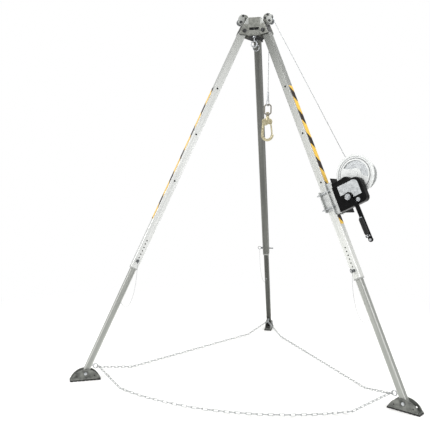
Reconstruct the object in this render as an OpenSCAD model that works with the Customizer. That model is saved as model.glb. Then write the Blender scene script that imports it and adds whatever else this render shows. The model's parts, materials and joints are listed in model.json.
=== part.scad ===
// Rescue tripod with a hand winch, in millimetres, +Z up, standing on z = 0.
// Each leg is drawn in its own frame: its top end at the origin, +X out of its outer face, +Y across,
// -Z down the leg.

/* [Stance] */
// height of the legs' top ends above the floor
leg_height = 2418; // [2300:1:2500]
// distance of the legs' top ends from the tripod's axis
leg_radius = 78; // [76:0.5:80]
// distance from a leg's top end down to its pivot
pivot_down = 45; // [40:1:50]
// lean of each leg from the vertical, in degrees
lean = 24.5; // [20:0.5:28]
// height of the shoe pivots above the floor
ankle_height = 48; // [44:1:60]

/* [Legs] */
// width of the square outer tube
outer_width = 50.8; // [45:0.1:60]
// wall of the outer tube
outer_wall = 3.2; // [2:0.1:3.4]
// width of the square inner tube
inner_width = 38.1; // [34:0.1:39]
// wall of the inner tube
inner_wall = 3.2; // [2:0.1:5]
// rounding of the tubes' long edges
tube_edge = 4; // [2:0.5:6]
// distance from a leg's top end down to the outer tube's lower end
outer_length = 1849; // [1700:1:1900]
// distance from the leg's top down to the lock pin
pin_down = 1800; // [1650:1:1810]
// spacing of the lock holes in the outer tube
lock_pitch = 25; // [20:1:30]
// number of lock holes
lock_holes = 7; // [2:1:7]
// distance from the leg's top down to the first side hole
side_hole_first = 496; // [400:1:600]
// spacing of the side holes
side_hole_pitch = 355; // [250:1:360]
// number of side holes
side_holes = 3; // [1:1:3]
// diameter of the side holes
side_hole_size = 13; // [8:0.5:16]
// distance from the leg's top down to the top of the inner tube
inner_top = 1300; // [1220:1:1400]
// where the hazard tape begins below the leg's top
tape_from = 500; // [300:5:600]
// where the hazard tape ends below the leg's top
tape_to = 1500; // [1450:5:1600]
// width of the hazard tape
tape_width = 43; // [20:1:44]

/* [Head] */
// height of the head's top face above the legs' top ends
head_top = 54; // [45:1:70]
// distance of the head's underside below the legs' top ends
head_bottom = 72; // [60:1:80]
// distance of the three panels from the axis
panel_distance = 68; // [64:1:72]
// half width of a panel
panel_half = 43; // [40:1:45]
// thickness of a fork cheek
cheek_thick = 10; // [8:0.5:12]
// rounding radius of a fork cheek about its pivot
cheek_radius = 27; // [24:0.5:30]
// top of the pulley ears above the legs' top ends
ear_top = 94; // [86:1:100]
// diameter of the leg pivot bolts
pivot_bolt = 16; // [12:0.5:18]
// diameter of the eyebolt ring
eye_size = 34; // [28:1:38]
// wire of the eyebolts
eye_wire = 8; // [6:0.5:10]
// length of an eyebolt's shank between the head and its ring
eye_shank = 34; // [12:1:40]
// distance of the eyebolts from the axis
eye_offset = 48; // [44:1:50]

/* [Cable and pulleys] */
// diameter of the steel cable
cable_size = 4.8; // [3:0.1:5]
// radius of the cable's middle on a pulley
pulley_radius = 18; // [16:0.5:20]
// pulley axle from the tripod's axis, along the leg's direction
pulley_out = 101.5; // [98:0.5:104]
// height of the pulley axles above the legs' top ends
pulley_height = 38; // [32:1:43]
// distance of the cable's plane from the leg's middle plane
cable_side = 50; // [49:0.5:51]
// height of the top of the cable ferrule
ferrule_top = 1964; // [1800:1:2010]

/* [Winch] */
// distance from the leg's top down to the drum's axis
drum_down = 1266; // [1240:1:1290]
// drum axis from the leg's middle
drum_out = 243; // [235:1:250]
// radius of the drum's core
drum_core = 40; // [34:0.5:44]
// radius of the side disc
disc_radius = 125; // [115:0.5:126]
// distance from the drum's axis down the leg to the crank's axis
crank_down = 121; // [119:0.5:123]
// crank axis from the leg's middle
crank_out = 180; // [178:0.5:181]
// length of the crank, from its axis to the bolt at its end
crank_length = 290; // [260:1:300]
// diameter of the grip
grip_size = 28; // [24:1:34]
// length of the grip
grip_length = 104; // [80:1:120]
// number of turns of cable on the drum
cable_turns = 13; // [6:1:13]

/* [Shoes and chain] */
// length of a shoe
shoe_length = 190; // [160:1:200]
// height of the shoe's cheeks above the sole
shoe_height = 66; // [60:1:72]
// thickness of the rubber sole
sole_thick = 8; // [6:0.5:10]
// wire of the chain links
chain_wire = 4; // [3:0.1:4.2]
// outer width of the chain links
chain_width = 16; // [15:0.5:18]
// inner length of the chain links
chain_inner = 33; // [32.8:0.1:34]
// how far the front run bows out toward the front
chain_bow = 340; // [0:10:380]

/* [Hook] */
// radius of the hook's bend, to the middle of its bar
hook_bend = 35; // [32:0.5:40]
// diameter of the hook's bar
hook_bar = 20; // [16:0.5:22]
// width of the swivel bail
bail_width = 56; // [50:1:60]
// height of the swivel bail
bail_height = 78; // [70:1:84]

/* [Hidden] */
$fn = 48;
gap = 0.3;
// clearance of a pin or bolt in its hole
fit = 0.1;
eps = 0.02;
// a straight bar that runs on from a bend is this much thinner, and starts this far inside it
join_step = 0.05;
join_in = 1;
LEGS = [["rear", 90], ["left", 210], ["right", 330]];
REAR = 90;
LEFT = 210;
RIGHT = 330;
// heights of the head above the floor
top_z = leg_height + head_top;
bottom_z = leg_height - head_bottom;
ear_z = leg_height + ear_top;
pulley_z = leg_height + pulley_height;
outer_half = outer_width / 2;
inner_half = inner_width / 2;
slot_half = outer_half + 2.1;
ankle_down = (leg_height - ankle_height) / cos(lean);
ankle_radius = leg_radius + ankle_down * sin(lean);
pivot_radius = leg_radius + pivot_down * sin(lean);
pivot_height = leg_height - pivot_down * cos(lean);
cap_top = 6;
// the inner corner of a leg's cap rests on the head when the leg is spread
slot_from = leg_radius - outer_half * cos(lean) - cap_top * sin(lean) - 0.4;
// reach of a fork's cheek beyond the pivot, and the rounding of its corners
cheek_reach = 26;
cheek_corner = 10;
// the recess across each panel of the head
recess_floor = panel_distance - 10;
recess_half = 34;
recess_rise = 16;
recess_z = bottom_z + 47;
// the tripod's axis is moved along Y so that the whole stands centred on the origin
shoe_end = shoe_length / 2 + 3;
eye_down = ankle_down - 62;
eye_in = inner_half + 19;
eye_ring = 15;
eye_ring_wire = 6;
// the eye that a leg's chain ends hang in, and the wire of that eye that they go round
eye_radius = leg_radius - (eye_in + 1.5 * eye_ring) * cos(lean) + eye_down * sin(lean);
eye_height = leg_height - (eye_in + 1.5 * eye_ring) * sin(lean) - eye_down * cos(lean);
bow_reach = chain_bow + 20;
chain_front = eye_radius / 2 + bow_reach + chain_width / 2;
axis_y = -(ankle_radius + shoe_end - chain_front) / 2;
cable_r = cable_size / 2;
// points of the cable's plane, as [out from the axis, height]
pulley_at = [pulley_out, pulley_z];
drum_at = [leg_radius + drum_out * cos(lean) + drum_down * sin(lean),
           leg_height + drum_out * sin(lean) - drum_down * cos(lean)];
wound_radius = drum_core + cable_r + 0.15;
drum_span = norm(drum_at - pulley_at);
drum_slope = atan2(drum_at[0] - pulley_at[0], pulley_at[1] - drum_at[1]);
cable_cross = asin((pulley_radius + wound_radius) / drum_span);
cable_lean = drum_slope - cable_cross;
cable_normal = [cos(cable_lean), sin(cable_lean)];
cable_from = pulley_at + pulley_radius * cable_normal;
cable_to = drum_at - wound_radius * cable_normal;
drop_out = pulley_out - pulley_radius;
// the hanging cable, from the right leg's frame to the tripod's
drop_x = drop_out * cos(RIGHT) - cable_side * sin(RIGHT);
drop_y = drop_out * sin(RIGHT) + cable_side * cos(RIGHT);
gear_module = 3;
gear_teeth = 76;
pinion_teeth = 15;
gear_line = atan2(-crank_down, crank_out - drum_out);
wind_pitch = cable_size + 0.5;
wind_from = cable_side - cable_turns * wind_pitch;
link_radius = (chain_width - chain_wire) / 2;
link_straight = chain_inner + chain_wire - 2 * link_radius;
link_most = chain_inner - 0.5;
// the links lie this far above the floor, because loaded soles give a little
chain_lift = 7;
link_z = chain_width / 2 + chain_lift;
end_links = 9;
// where the two chain ends of a leg go round its eye, as turns up from its inmost point
eye_high = 30;
eye_low = -10;
eye_slack = 1;

// Shared shapes

// puts what follows on the tripod's axis
module on_axis() {
  translate([0, axis_y, 0]) children();
}

// puts what follows in the upright plane of a leg: X out, Y across, Z height
module leg_plane(angle) {
  on_axis() rotate([0, 0, angle]) children();
}

// puts what follows in a leg's own frame, with its top end at the origin
module leg_frame(angle) {
  leg_plane(angle) translate([leg_radius, 0, leg_height]) rotate([0, -lean, 0]) children();
}

// a box given by its two corners
module span(a, b) {
  translate(a) cube(b - a);
}

// a rod along Y from one place to another
module across(out, up, from, to, radius) {
  translate([out, from, up]) rotate([-90, 0, 0]) cylinder(h = to - from, r = radius);
}

// a rod along X
module along(from, to, across, up, radius) {
  translate([from, across, up]) rotate([0, 90, 0]) cylinder(h = to - from, r = radius);
}

// a hexagonal head or nut along Y
module hex_across(out, up, from, to, radius) {
  translate([out, from, up]) rotate([-90, 0, 0]) cylinder(h = to - from, r = radius, $fn = 6);
}

// a round rod between two points
module rod(a, b, radius) {
  d = b - a;
  translate(a) rotate([0, acos(d[2] / norm(d)), atan2(d[1], d[0])]) cylinder(h = norm(d), r = radius);
}

// a square bar with rounded long edges, down from the origin
module bar(width, from, to, edge) {
  h = width / 2;
  span([-h + edge, -h, -to], [h - edge, h, -from]);
  span([-h, -h + edge, -to], [h, h - edge, -from]);
  for (x = [-1, 1], y = [-1, 1])
    translate([x * (h - edge), y * (h - edge), -to]) cylinder(h = to - from, r = edge, $fn = 32);
}

// the part of a ring between two angles, in the X-Y plane
module arc_bar(radius, bar_radius, from, sweep) {
  rotate([0, 0, from]) rotate_extrude(angle = sweep) translate([radius, 0]) circle(r = bar_radius, $fn = 24);
}

// Head

module head_block() {
  linear_extrude(height = top_z - bottom_z)
    polygon([for (web = [270, 30, 150], side = [-1, 1])
      [panel_distance * cos(web) - side * panel_half * sin(web),
       panel_distance * sin(web) + side * panel_half * cos(web)]]);
}

// points of a rounded corner, as [out, height]
function rounded(at, r, from, to) =
  [for (k = [0 : 6]) let (t = from + (to - from) * k / 6) at + r * [cos(t), sin(t)]];

// a fork's cheek stands level with the foot of the head, and reaches out to the leg's outer face
module cheek(side) {
  low = side > 0 ? slot_half : -slot_half - cheek_thick;
  high = low + cheek_thick;
  foot = [pivot_radius + cheek_reach, bottom_z + 4 + cheek_corner];
  brow = [leg_radius + outer_half - cheek_corner, leg_height + 2];
  translate([0, high, 0]) rotate([90, 0, 0]) linear_extrude(height = cheek_thick)
    polygon(concat([[40, top_z - 2], [40, bottom_z + 4]], rounded(foot, cheek_corner, -90, 20),
                   rounded(brow, cheek_corner, 20, 66), [[76, top_z - 2]]));
  across(pivot_radius, pivot_height, low, high, cheek_radius);
}

// one ear carries the pulley on the far side of a fork
module ear(side) {
  low = side > 0 ? slot_half : -slot_half - cheek_thick;
  high = low + cheek_thick;
  span([44, low, top_z - 30], [112, high, ear_z - 26]);
  span([70, low, top_z - 30], [88, high, ear_z]);
  across(70, ear_z - 26, low, high, 26);
  across(88, ear_z - 26, low, high, 26);
  across(pulley_out, pulley_z, low, high, 19);
}

// where the ear's bolts stand, as [out, height]
KEEPERS = [[85, ear_z - 11], [62, ear_z - 30]];

module head_casting() {
  color("#8d9094") on_axis() difference() {
    union() {
      translate([0, 0, bottom_z]) head_block();
      for (leg = LEGS) rotate([0, 0, leg[1]]) {
        cheek(1);
        cheek(-1);
      }
      rotate([0, 0, RIGHT]) ear(1);
      rotate([0, 0, LEFT]) ear(-1);
      // a raised band along the foot of each panel
      for (web = [270, 30, 150]) rotate([0, 0, web])
        span([panel_distance - 5, 1 - panel_half, bottom_z + 6],
             [panel_distance + 3, panel_half - 1, bottom_z + 18]);
    }
    // the slots that the legs swing in
    for (leg = LEGS) rotate([0, 0, leg[1]]) {
      span([slot_from, -slot_half, bottom_z - 10], [200, slot_half, ear_z + 10]);
      across(pivot_radius, pivot_height, -60, 60, pivot_bolt / 2 + fit);
    }
    // the panel recesses with their screw holes, and the eyebolt holes
    for (web = [270, 30, 150]) rotate([0, 0, web]) {
      span([recess_floor, -recess_half, recess_z - recess_rise / 2],
           [panel_distance + 20, recess_half, recess_z + recess_rise / 2]);
      along(recess_floor - 12, panel_distance, 0, recess_z, 4 + fit);
    }
    for (y = [-eye_offset, eye_offset]) translate([0, y, bottom_z - 1])
      cylinder(h = 31, r = eye_wire / 2 + fit);
    // the axle and keeper holes
    rotate([0, 0, RIGHT]) ear_holes(1);
    rotate([0, 0, LEFT]) ear_holes(-1);
  }
}

module ear_holes(side) {
  for (p = concat([pulley_at], KEEPERS))
    across(p[0], p[1], side > 0 ? 20 : -60, side > 0 ? 60 : -20, 5 + fit);
}

guard_near = cable_side + 8.5;
guard_far = guard_near + 4;

module pulley_guard(side) {
  low = side > 0 ? guard_near : -guard_far;
  high = low + 4;
  difference() {
    union() {
      across(70, ear_z - 26, low, high, 23);
      across(86, ear_z - 25, low, high, 23);
      across(pulley_out, pulley_z, low, high, 17);
      span([62, low, pulley_z - 2], [104, high, ear_z - 26]);
    }
    for (p = concat([pulley_at], KEEPERS)) across(p[0], p[1], low - 1, high + 1, 5 + fit);
  }
}

module pulley_guards() {
  color("#9a9da1") {
    leg_plane(RIGHT) pulley_guard(1);
    leg_plane(LEFT) pulley_guard(-1);
  }
}

// a bolt of the pulley ear, lying on the positive side
module ear_bolt(p, sleeved) {
  ear_far = slot_half + cheek_thick;
  across(p[0], p[1], slot_half - 7, guard_far + 8, 5);
  hex_across(p[0], p[1], slot_half - 7, slot_half - gap, 8.5);
  hex_across(p[0], p[1], guard_far + gap, guard_far + 8, 8.5);
  if (sleeved) {
    across(p[0], p[1], ear_far + gap, guard_near - gap, 8);
  } else {
    across(p[0], p[1], ear_far + gap, cable_side - 6.4, 8);
    across(p[0], p[1], cable_side + 6.4, guard_near - gap, 8);
  }
}

module ear_bolts() {
  ear_bolt(pulley_at, false);
  for (p = KEEPERS) ear_bolt(p, true);
}

module head_bolts() {
  color("#3a3c3f") {
    for (leg = LEGS) leg_plane(leg[1]) {
      far = slot_half + cheek_thick;
      across(pivot_radius, pivot_height, -far - 12, far + 13, pivot_bolt / 2);
      hex_across(pivot_radius, pivot_height, -far - 12, -far - gap, 14);
      hex_across(pivot_radius, pivot_height, far + gap, far + 10, 14);
    }
    leg_plane(RIGHT) ear_bolts();
    leg_plane(LEFT) mirror([0, 1, 0]) ear_bolts();
    for (web = [270, 30, 150]) leg_plane(web) {
      along(recess_floor - 10, recess_floor + 0.5, 0, recess_z, 4);
      along(recess_floor + gap, recess_floor + 4.5, 0, recess_z, 6.5);
    }
  }
}

module eyebolt(y) {
  ring = (eye_size + eye_wire) / 2;
  on_axis() translate([0, y, bottom_z]) {
    translate([0, 0, -ring - eye_shank]) rotate([90, 0, 0]) arc_bar(ring, eye_wire / 2, 0, 360);
    translate([0, 0, -eye_shank - 2]) cylinder(h = eye_shank + 28, r = eye_wire / 2);
    translate([0, 0, -8 - gap]) cylinder(h = 8, r = 13);
  }
}

module eyebolt_front() { color("#b9bcc0") eyebolt(-eye_offset); }
module eyebolt_rear() { color("#b9bcc0") eyebolt(eye_offset); }

// a grooved wheel about Y
module pulley(side) {
  rim = pulley_radius + 5;
  half = 6;
  translate([pulley_out, side * cable_side, pulley_z]) rotate([90, 0, 0])
    difference() {
      rotate_extrude() difference() {
        translate([5 + fit, -half]) square([rim - 5 - fit, 2 * half]);
        translate([pulley_radius, 0]) circle(r = cable_r + 0.2, $fn = 32);
        translate([pulley_radius, -cable_r - 0.2]) square([20, 2 * cable_r + 0.4]);
      }
      for (k = [0 : 4]) rotate([0, 0, k * 72]) translate([10.5, 0, -half - 1]) cylinder(h = 20, r = 2);
    }
}

module pulley_right() { color("#6d7074") leg_plane(RIGHT) pulley(1); }
module pulley_left() { color("#6d7074") leg_plane(LEFT) pulley(-1); }

// Legs

module outer_tube(angle) {
  hollow = outer_half - outer_wall;
  color("#c9ccd0") leg_frame(angle) difference() {
    bar(outer_width, cap_seam, outer_length, tube_edge);
    span([-hollow, -hollow, -outer_length - 1], [hollow, hollow, 30]);
    for (k = [0 : side_holes - 1])
      across(0, -side_hole_first - k * side_hole_pitch, -60, 60, side_hole_size / 2);
    for (k = [0 : lock_holes - 1]) across(0, -pin_down + k * lock_pitch, -60, 60, pin_radius + gap);
    across(0, -pivot_down, -60, 60, pivot_bolt / 2 + fit);
  }
}

module tape(angle) {
  color("#f0c83c") leg_frame(angle)
    span([outer_half + 0.05, -tape_width / 2 + 1, -tape_to],
         [outer_half + 0.55, tape_width / 2 - 1, -tape_from]);
}

// the top cap, rounded on its outer side, with its plug, and the guide bush at the lower end
cap_seam = 12;
cap_round = 18;

module leg_caps(angle) {
  hollow = outer_half - outer_wall - gap;
  liner = inner_half + gap;
  color("#232426") leg_frame(angle) {
    difference() {
      union() {
        span([-outer_half, -outer_half, -cap_seam], [outer_half - cap_round, outer_half, cap_top]);
        difference() {
          across(outer_half - cap_round, -cap_seam, -outer_half, outer_half, cap_round);
          span([-60, -60, -80], [60, 60, -cap_seam]);
        }
        span([-hollow, -hollow, -pivot_down - 24], [hollow, hollow, -cap_seam + 2]);
      }
      across(0, -pivot_down, -60, 60, pivot_bolt / 2 + fit);
    }
    difference() {
      union() {
        span([-hollow, -hollow, -outer_length - 4], [hollow, hollow, -pin_down - 14]);
        bar(outer_width, outer_length + gap, outer_length + 8, tube_edge);
      }
      span([-liner, -liner, -outer_length - 20], [liner, liner, -pin_down + 20]);
    }
  }
}

module inner_tube(angle) {
  hollow = inner_half - inner_wall;
  color("#c3c6ca") leg_frame(angle) difference() {
    bar(inner_width, inner_top, ankle_down + 21, tube_edge - 1);
    span([-hollow, -hollow, -ankle_down - 60], [hollow, hollow, -inner_top + 1]);
    across(0, -pin_down, -60, 60, pin_radius + gap);
    across(0, -ankle_down, -60, 60, 6 + fit);
    along(-60, 0, 0, -eye_down, 4 + fit);
  }
}

// the slide pad on the inner tube's top, the chain eye and the ankle bolt
module leg_fittings(angle) {
  plug = inner_half - inner_wall - gap;
  pad = outer_half - outer_wall - gap;
  shoe_far = inner_half + 8;
  color("#b4b7bb") leg_frame(angle) {
    span([-plug, -plug, -inner_top - 40], [plug, plug, -inner_top + 2 * gap]);
    span([-pad, -pad, -inner_top + gap], [pad, pad, -inner_top + 30]);
    across(0, -ankle_down, -shoe_far - 9, shoe_far + 11, 6);
    hex_across(0, -ankle_down, -shoe_far - 9, -shoe_far - gap, 10.5);
    hex_across(0, -ankle_down, shoe_far + gap, shoe_far + 9, 10.5);
    translate([-eye_in - eye_ring / 2, 0, -eye_down]) rotate([90, 0, 0])
      arc_bar(eye_ring, eye_ring_wire / 2, 0, 360);
    along(-eye_in + 5.5, -inner_half + 10, 0, -eye_down, 4);
    along(-inner_half - 6, -inner_half - gap, 0, -eye_down, 9);
    along(-inner_half + inner_wall + gap, -inner_half + inner_wall + 6, 0, -eye_down, 8);
    // rivet for the tether
    along(-inner_half - 5, -inner_half - 0.1, head_side(angle) * tether_d[1], tether_d[2], 5);
  }
}

// the pin's head is on the side that faces the front, as a sign along the leg's Y
function head_side(angle) = angle == RIGHT ? -1 : 1;
pin_head = outer_half + 3;
pin_radius = 5;

module lock_pin(angle) {
  color("#a9acb0") leg_frame(angle) mirror([0, head_side(angle) < 0 ? 1 : 0, 0]) {
    across(0, -pin_down, -outer_half - 36, pin_head + 10, pin_radius);
    across(0, -pin_down, outer_half + gap, pin_head, 10);
    across(0, -pin_down, pin_head, pin_head + 16, 8);
    translate([0, pin_head + 16 + 11, -pin_down]) rotate([0, 90, 0]) arc_bar(13, 2, 0, 360);
  }
}

// the thin tether hangs from the pin's ring and bends back to a rivet on the inner tube
TETHER_STEPS = 28;
TETHER_SIDES = 8;
tether_r = 1;
plumb = [-sin(lean), 0, -cos(lean)];
tether_a = [0, pin_head + 27, -pin_down - 16.2];
tether_d = [-inner_half - 5 - 2 * tether_r, 4, -pin_down - 300];
tether_b = tether_a + 190 * plumb;
tether_c = tether_d + [-75, 22, -62];

function bent(w) = pow(1 - w, 3) * tether_a + 3 * w * pow(1 - w, 2) * tether_b
  + 3 * w * w * (1 - w) * tether_c + pow(w, 3) * tether_d;
function bent_way(w) = let (d = bent(w + 0.001) - bent(w - 0.001)) d / norm(d);

// points of a round skin about a bent line
function skin_ring(w, r) =
  let (way = bent_way(w), one = cross(way, [0.2, 1, 0.1]), a = one / norm(one), b = cross(way, a))
  [for (j = [0 : TETHER_SIDES - 1]) let (t = j * 360 / TETHER_SIDES) bent(w) + r * (cos(t) * a + sin(t) * b)];

module pin_tether(angle) {
  points = [for (k = [0 : TETHER_STEPS], p = skin_ring(k / TETHER_STEPS, tether_r)) p];
  sides = [for (k = [0 : TETHER_STEPS - 1], j = [0 : TETHER_SIDES - 1])
    let (a = k * TETHER_SIDES + j, b = k * TETHER_SIDES + (j + 1) % TETHER_SIDES)
    [a, a + TETHER_SIDES, b + TETHER_SIDES, b]];
  ends = [[for (j = [0 : TETHER_SIDES - 1]) j],
          [for (j = [TETHER_SIDES - 1 : -1 : 0]) TETHER_STEPS * TETHER_SIDES + j]];
  color("#c0c3c7") leg_frame(angle) mirror([0, head_side(angle) < 0 ? 1 : 0, 0])
    polyhedron(points = points, faces = concat(sides, ends));
}

// Shoes

module shoe_frame(angle) {
  leg_plane(angle) translate([ankle_radius, 0, 0]) children();
}

module shoe(angle) {
  near = inner_half + 2;
  far = inner_half + 8;
  arc = (pow(shoe_length / 2, 2) + pow(shoe_height, 2)) / (2 * shoe_height);
  color("#55585c") shoe_frame(angle) difference() {
    union() {
      for (s = [-1, 1]) difference() {
        across(0, sole_thick + shoe_height - arc, s > 0 ? near : -far, s > 0 ? far : -near, arc);
        span([-200, -60, -300], [200, 60, sole_thick + gap]);
      }
      span([-shoe_length / 2, -far - 3, sole_thick + gap], [shoe_length / 2, far + 3, sole_thick + 6]);
    }
    across(0, ankle_height, -60, 60, 6 + fit);
    for (x = [-58, 58]) across(x, sole_thick + 22, -60, 60, 6);
  }
}

module sole(angle) {
  half = inner_half + 12;
  color("#1d1d1e") shoe_frame(angle)
    difference() {
      span([-shoe_end, -half, 0], [shoe_end, half, sole_thick]);
      for (x = [-75 : 25 : 75]) span([x - 4, -half - 1, -1], [x + 4, half + 1, 2]);
    }
}

// Chain

// one link along X, flat in the X-Y plane
module link() {
  h = link_straight / 2;
  for (s = [-1, 1]) {
    translate([s * h, 0, 0]) arc_bar(link_radius, chain_wire / 2, s > 0 ? -90 : 90, 180);
    translate([-h, s * link_radius, 0]) rotate([0, 90, 0]) cylinder(h = 2 * h, r = chain_wire / 2, $fn = 24);
  }
}

// links from each point to the next, each turned a quarter from the last
module links(points, first) {
  for (k = [0 : len(points) - 2]) let (a = points[k], d = points[k + 1] - a)
    translate(a + d / 2)
      rotate([0, -asin(d[2] / norm(d)), atan2(d[1], d[0])]) rotate([90 * (k + first), 0, 0]) link();
}

function polar(radius, angle, z) = [radius * cos(angle), radius * sin(angle), z];

// a leg's half of a run lies straight to the middle between two legs, and the front run on an arc
bow_half = eye_radius * cos(30);
bow_radius = (bow_half * bow_half + bow_reach * bow_reach) / (2 * bow_reach);
bow_turn = 2 * atan(bow_reach / bow_half);

function is_front(angle, side) = let (mid = angle + 60 * side) abs(cos(mid)) < 0.01 && sin(mid) < 0;
function run_length(angle, side) = is_front(angle, side) ? bow_radius * bow_turn * PI / 180 : bow_half;
function bow_place(side, turn) =
  [-side * bow_radius * sin(turn), bow_radius * (1 - cos(turn)) - eye_radius / 2 - bow_reach, link_z];
function run_place(angle, side, w) =
  is_front(angle, side) ? bow_place(side, bow_turn * (1 - w))
  : (1 - w) * polar(eye_radius, angle, link_z) + w * polar(eye_radius / 2, angle + 60 * side, link_z);

// where the hanging end links meet the links on the floor, as a share of the half run
function floor_share(angle, side) = (end_links * link_most - 8) / run_length(angle, side);
function run_floor(angle, side) = run_place(angle, side, floor_share(angle, side));

// a place in the middle of the eye's wire
function eye_place(angle, turn) =
  let (x = -eye_in - eye_ring * (0.5 + cos(turn)), z = eye_ring * sin(turn) - eye_down)
  polar(leg_radius + x * cos(lean) - z * sin(lean), angle, leg_height + x * sin(lean) + z * cos(lean));

// the front run goes round the upper place
function is_high(angle, side) = is_front(angle, side) || (angle == REAR && side > 0);

function run_start(angle, side) =
  let (a = eye_place(angle, is_high(angle, side) ? eye_high : eye_low), d = run_floor(angle, side) - a)
  a - d * (eye_ring_wire / 2 + eye_slack) / norm(d);

function hanging_links(angle, side) = ceil(norm(run_floor(angle, side) - run_start(angle, side)) / link_most);

module chain_end(angle) {
  color("#b9bcc0") on_axis() for (side = [-1, 1])
    let (a = run_start(angle, side), d = run_floor(angle, side) - a, count = hanging_links(angle, side))
    links([for (k = [0 : count]) a + d * k / count], 0);
}

// one half of each run has a link more, so that the two halves meet a quarter turned
module chain_run(angle) {
  color("#b9bcc0") on_axis() for (side = [-1, 1])
    let (from = floor_share(angle, side),
         count = ceil((1 - from) * run_length(angle, side) / link_most) + (side < 0 ? 1 : 0))
    links([for (k = [0 : count]) run_place(angle, side, from + (1 - from) * k / count)],
          hanging_links(angle, side));
}

// Winch, in the right leg's frame and placed from the drum's axis

module winch_frame() {
  leg_frame(RIGHT) translate([0, 0, -drum_down]) children();
}

channel_from = -32;
channel_to = 174;
clamp_from = 0;
clamp_to = 139;
clamp_half = 50;
clamp_bolt_at = [19, 119];
base_bolt_at = [-14, 156];
tape_top = outer_half + 0.9;
channel_out = 85;

module winch_bracket() {
  color("#b9bcbf") winch_frame() difference() {
    union() {
      // channel between the leg and the winch
      span([tape_top, -clamp_half, -channel_to], [tape_top + 6, clamp_half, -channel_from]);
      span([channel_out - 6, -clamp_half, -channel_to], [channel_out, clamp_half, -channel_from]);
      for (s = [-1, 1])
        span([tape_top, s > 0 ? 26 : -32, -channel_to], [channel_out, s > 0 ? 32 : -26, -channel_from]);
      // clamp round the inner side of the leg
      span([-outer_half - 7, -clamp_half, -clamp_to], [-outer_half - gap, clamp_half, -clamp_from]);
      for (s = [-1, 1]) span([-outer_half - 7, s > 0 ? outer_half + gap : -outer_half - 5.3, -clamp_to],
                             [20, s > 0 ? outer_half + 5.3 : -outer_half - gap, -clamp_from]);
    }
    for (y = [-42, 42], u = clamp_bolt_at) along(-60, 60, y, -u, 4 + fit);
    for (y = [-16, 16], u = base_bolt_at) along(60, 120, y, -u, 4 + fit);
  }
}

module hex_along(from, to, y, up) {
  translate([from, y, up]) rotate([0, 90, 0]) cylinder(h = to - from, r = 7, $fn = 6);
}

module winch_bolts() {
  color("#8f9296") winch_frame() {
    for (y = [-42, 42], u = clamp_bolt_at) {
      along(-outer_half - 26, tape_top + 15, y, -u, 4);
      hex_along(-outer_half - 14, -outer_half - 7 - gap, y, -u);
      hex_along(tape_top + 6 + gap, tape_top + 13, y, -u);
    }
    for (y = [-16, 16], u = base_bolt_at) {
      along(channel_out - 14, channel_out + 15, y, -u, 4);
      hex_along(channel_out - 13, channel_out - 6 - gap, y, -u);
      hex_along(channel_out + 8 + gap, channel_out + 14, y, -u);
    }
  }
}

box_near = -95;
box_far = -50;
box_out = 286;
casing_top = 22;
casing_low = 184;
base_top = channel_out + 8;
box_wall = 5;
// how far the bearing ring stands out from the casing
ring_rise = 3;

// the gearbox's outline, as the casing and its cover share it
module casing(near, far, inset, from) {
  top = casing_top + inset;
  low = casing_low - inset;
  out = box_out - inset;
  span([from, near, -low], [out - 40, far, -top]);
  span([from, near, -low + 30], [out, far, -top - 40]);
  across(out - 40, -top - 40, near, far, 40);
  across(out - 30, -low + 30, near, far, 30);
}

module winch_gearbox() {
  color("#1c1d1f") winch_frame() difference() {
    union() {
      // base flange
      span([channel_out + gap, -62, -casing_low - 2], [base_top, 80, 44]);
      difference() {
        casing(box_near, box_far, 0, base_top - 1);
        casing(box_near + box_wall, box_far + 1, box_wall, base_top);
      }
      // hump behind the casing's top edge
      span([base_top - 1, -84, -34], [185, box_far, 4]);
      across(185, -30, -84, box_far, 38);
      // far bearing plate
      span([base_top - 1, 70, -36], [drum_out, 78, 36]);
      span([base_top - 1, 70, -crank_down - 22], [crank_out, 78, -30]);
      across(drum_out, 0, 70, 78, 36);
      across(crank_out, -crank_down, 70, 78, 22);
    }
    across(drum_out, 0, -60, 120, 10 + fit);
    across(crank_out, -crank_down, -120, 120, 9 + fit);
    for (y = [-16, 16], u = base_bolt_at) along(60, 120, y, -u, 4 + fit);
  }
}

// a bare plate on the casing's upper front, cut round the crank's hub
module winch_label() {
  color("#c8cacd") winch_frame() difference() {
    union() {
      span([130, box_near - 1.3, -132], [238, box_near - 0.1, -34]);
      span([130, box_near - 1.3, -132], [266, box_near - 0.1, -62]);
      across(238, -62, box_near - 1.3, box_near - 0.1, 28);
    }
    across(crank_out, -crank_down, -120, -60, 30);
    span([100, -120, -154], [crank_out + 8, -60, -94]);
  }
}

// the bearing ring behind the crank's hub, and the end of the idler shaft
module winch_bosses() {
  color("#b9bcbf") winch_frame() {
    difference() {
      across(crank_out, -crank_down, box_near - ring_rise, box_near - 0.1, 24);
      across(crank_out, -crank_down, -120, -60, 9 + fit);
    }
    across(231, -159, box_near - 3.5, box_near - 0.1, 13);
    across(231, -159, box_near - 5, box_near - 0.1, 7);
  }
}

disc_near = -44;

// the window over the cable is a half moon above a slanting edge
window_turn = -41.5;
window_radius = 87;

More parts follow.
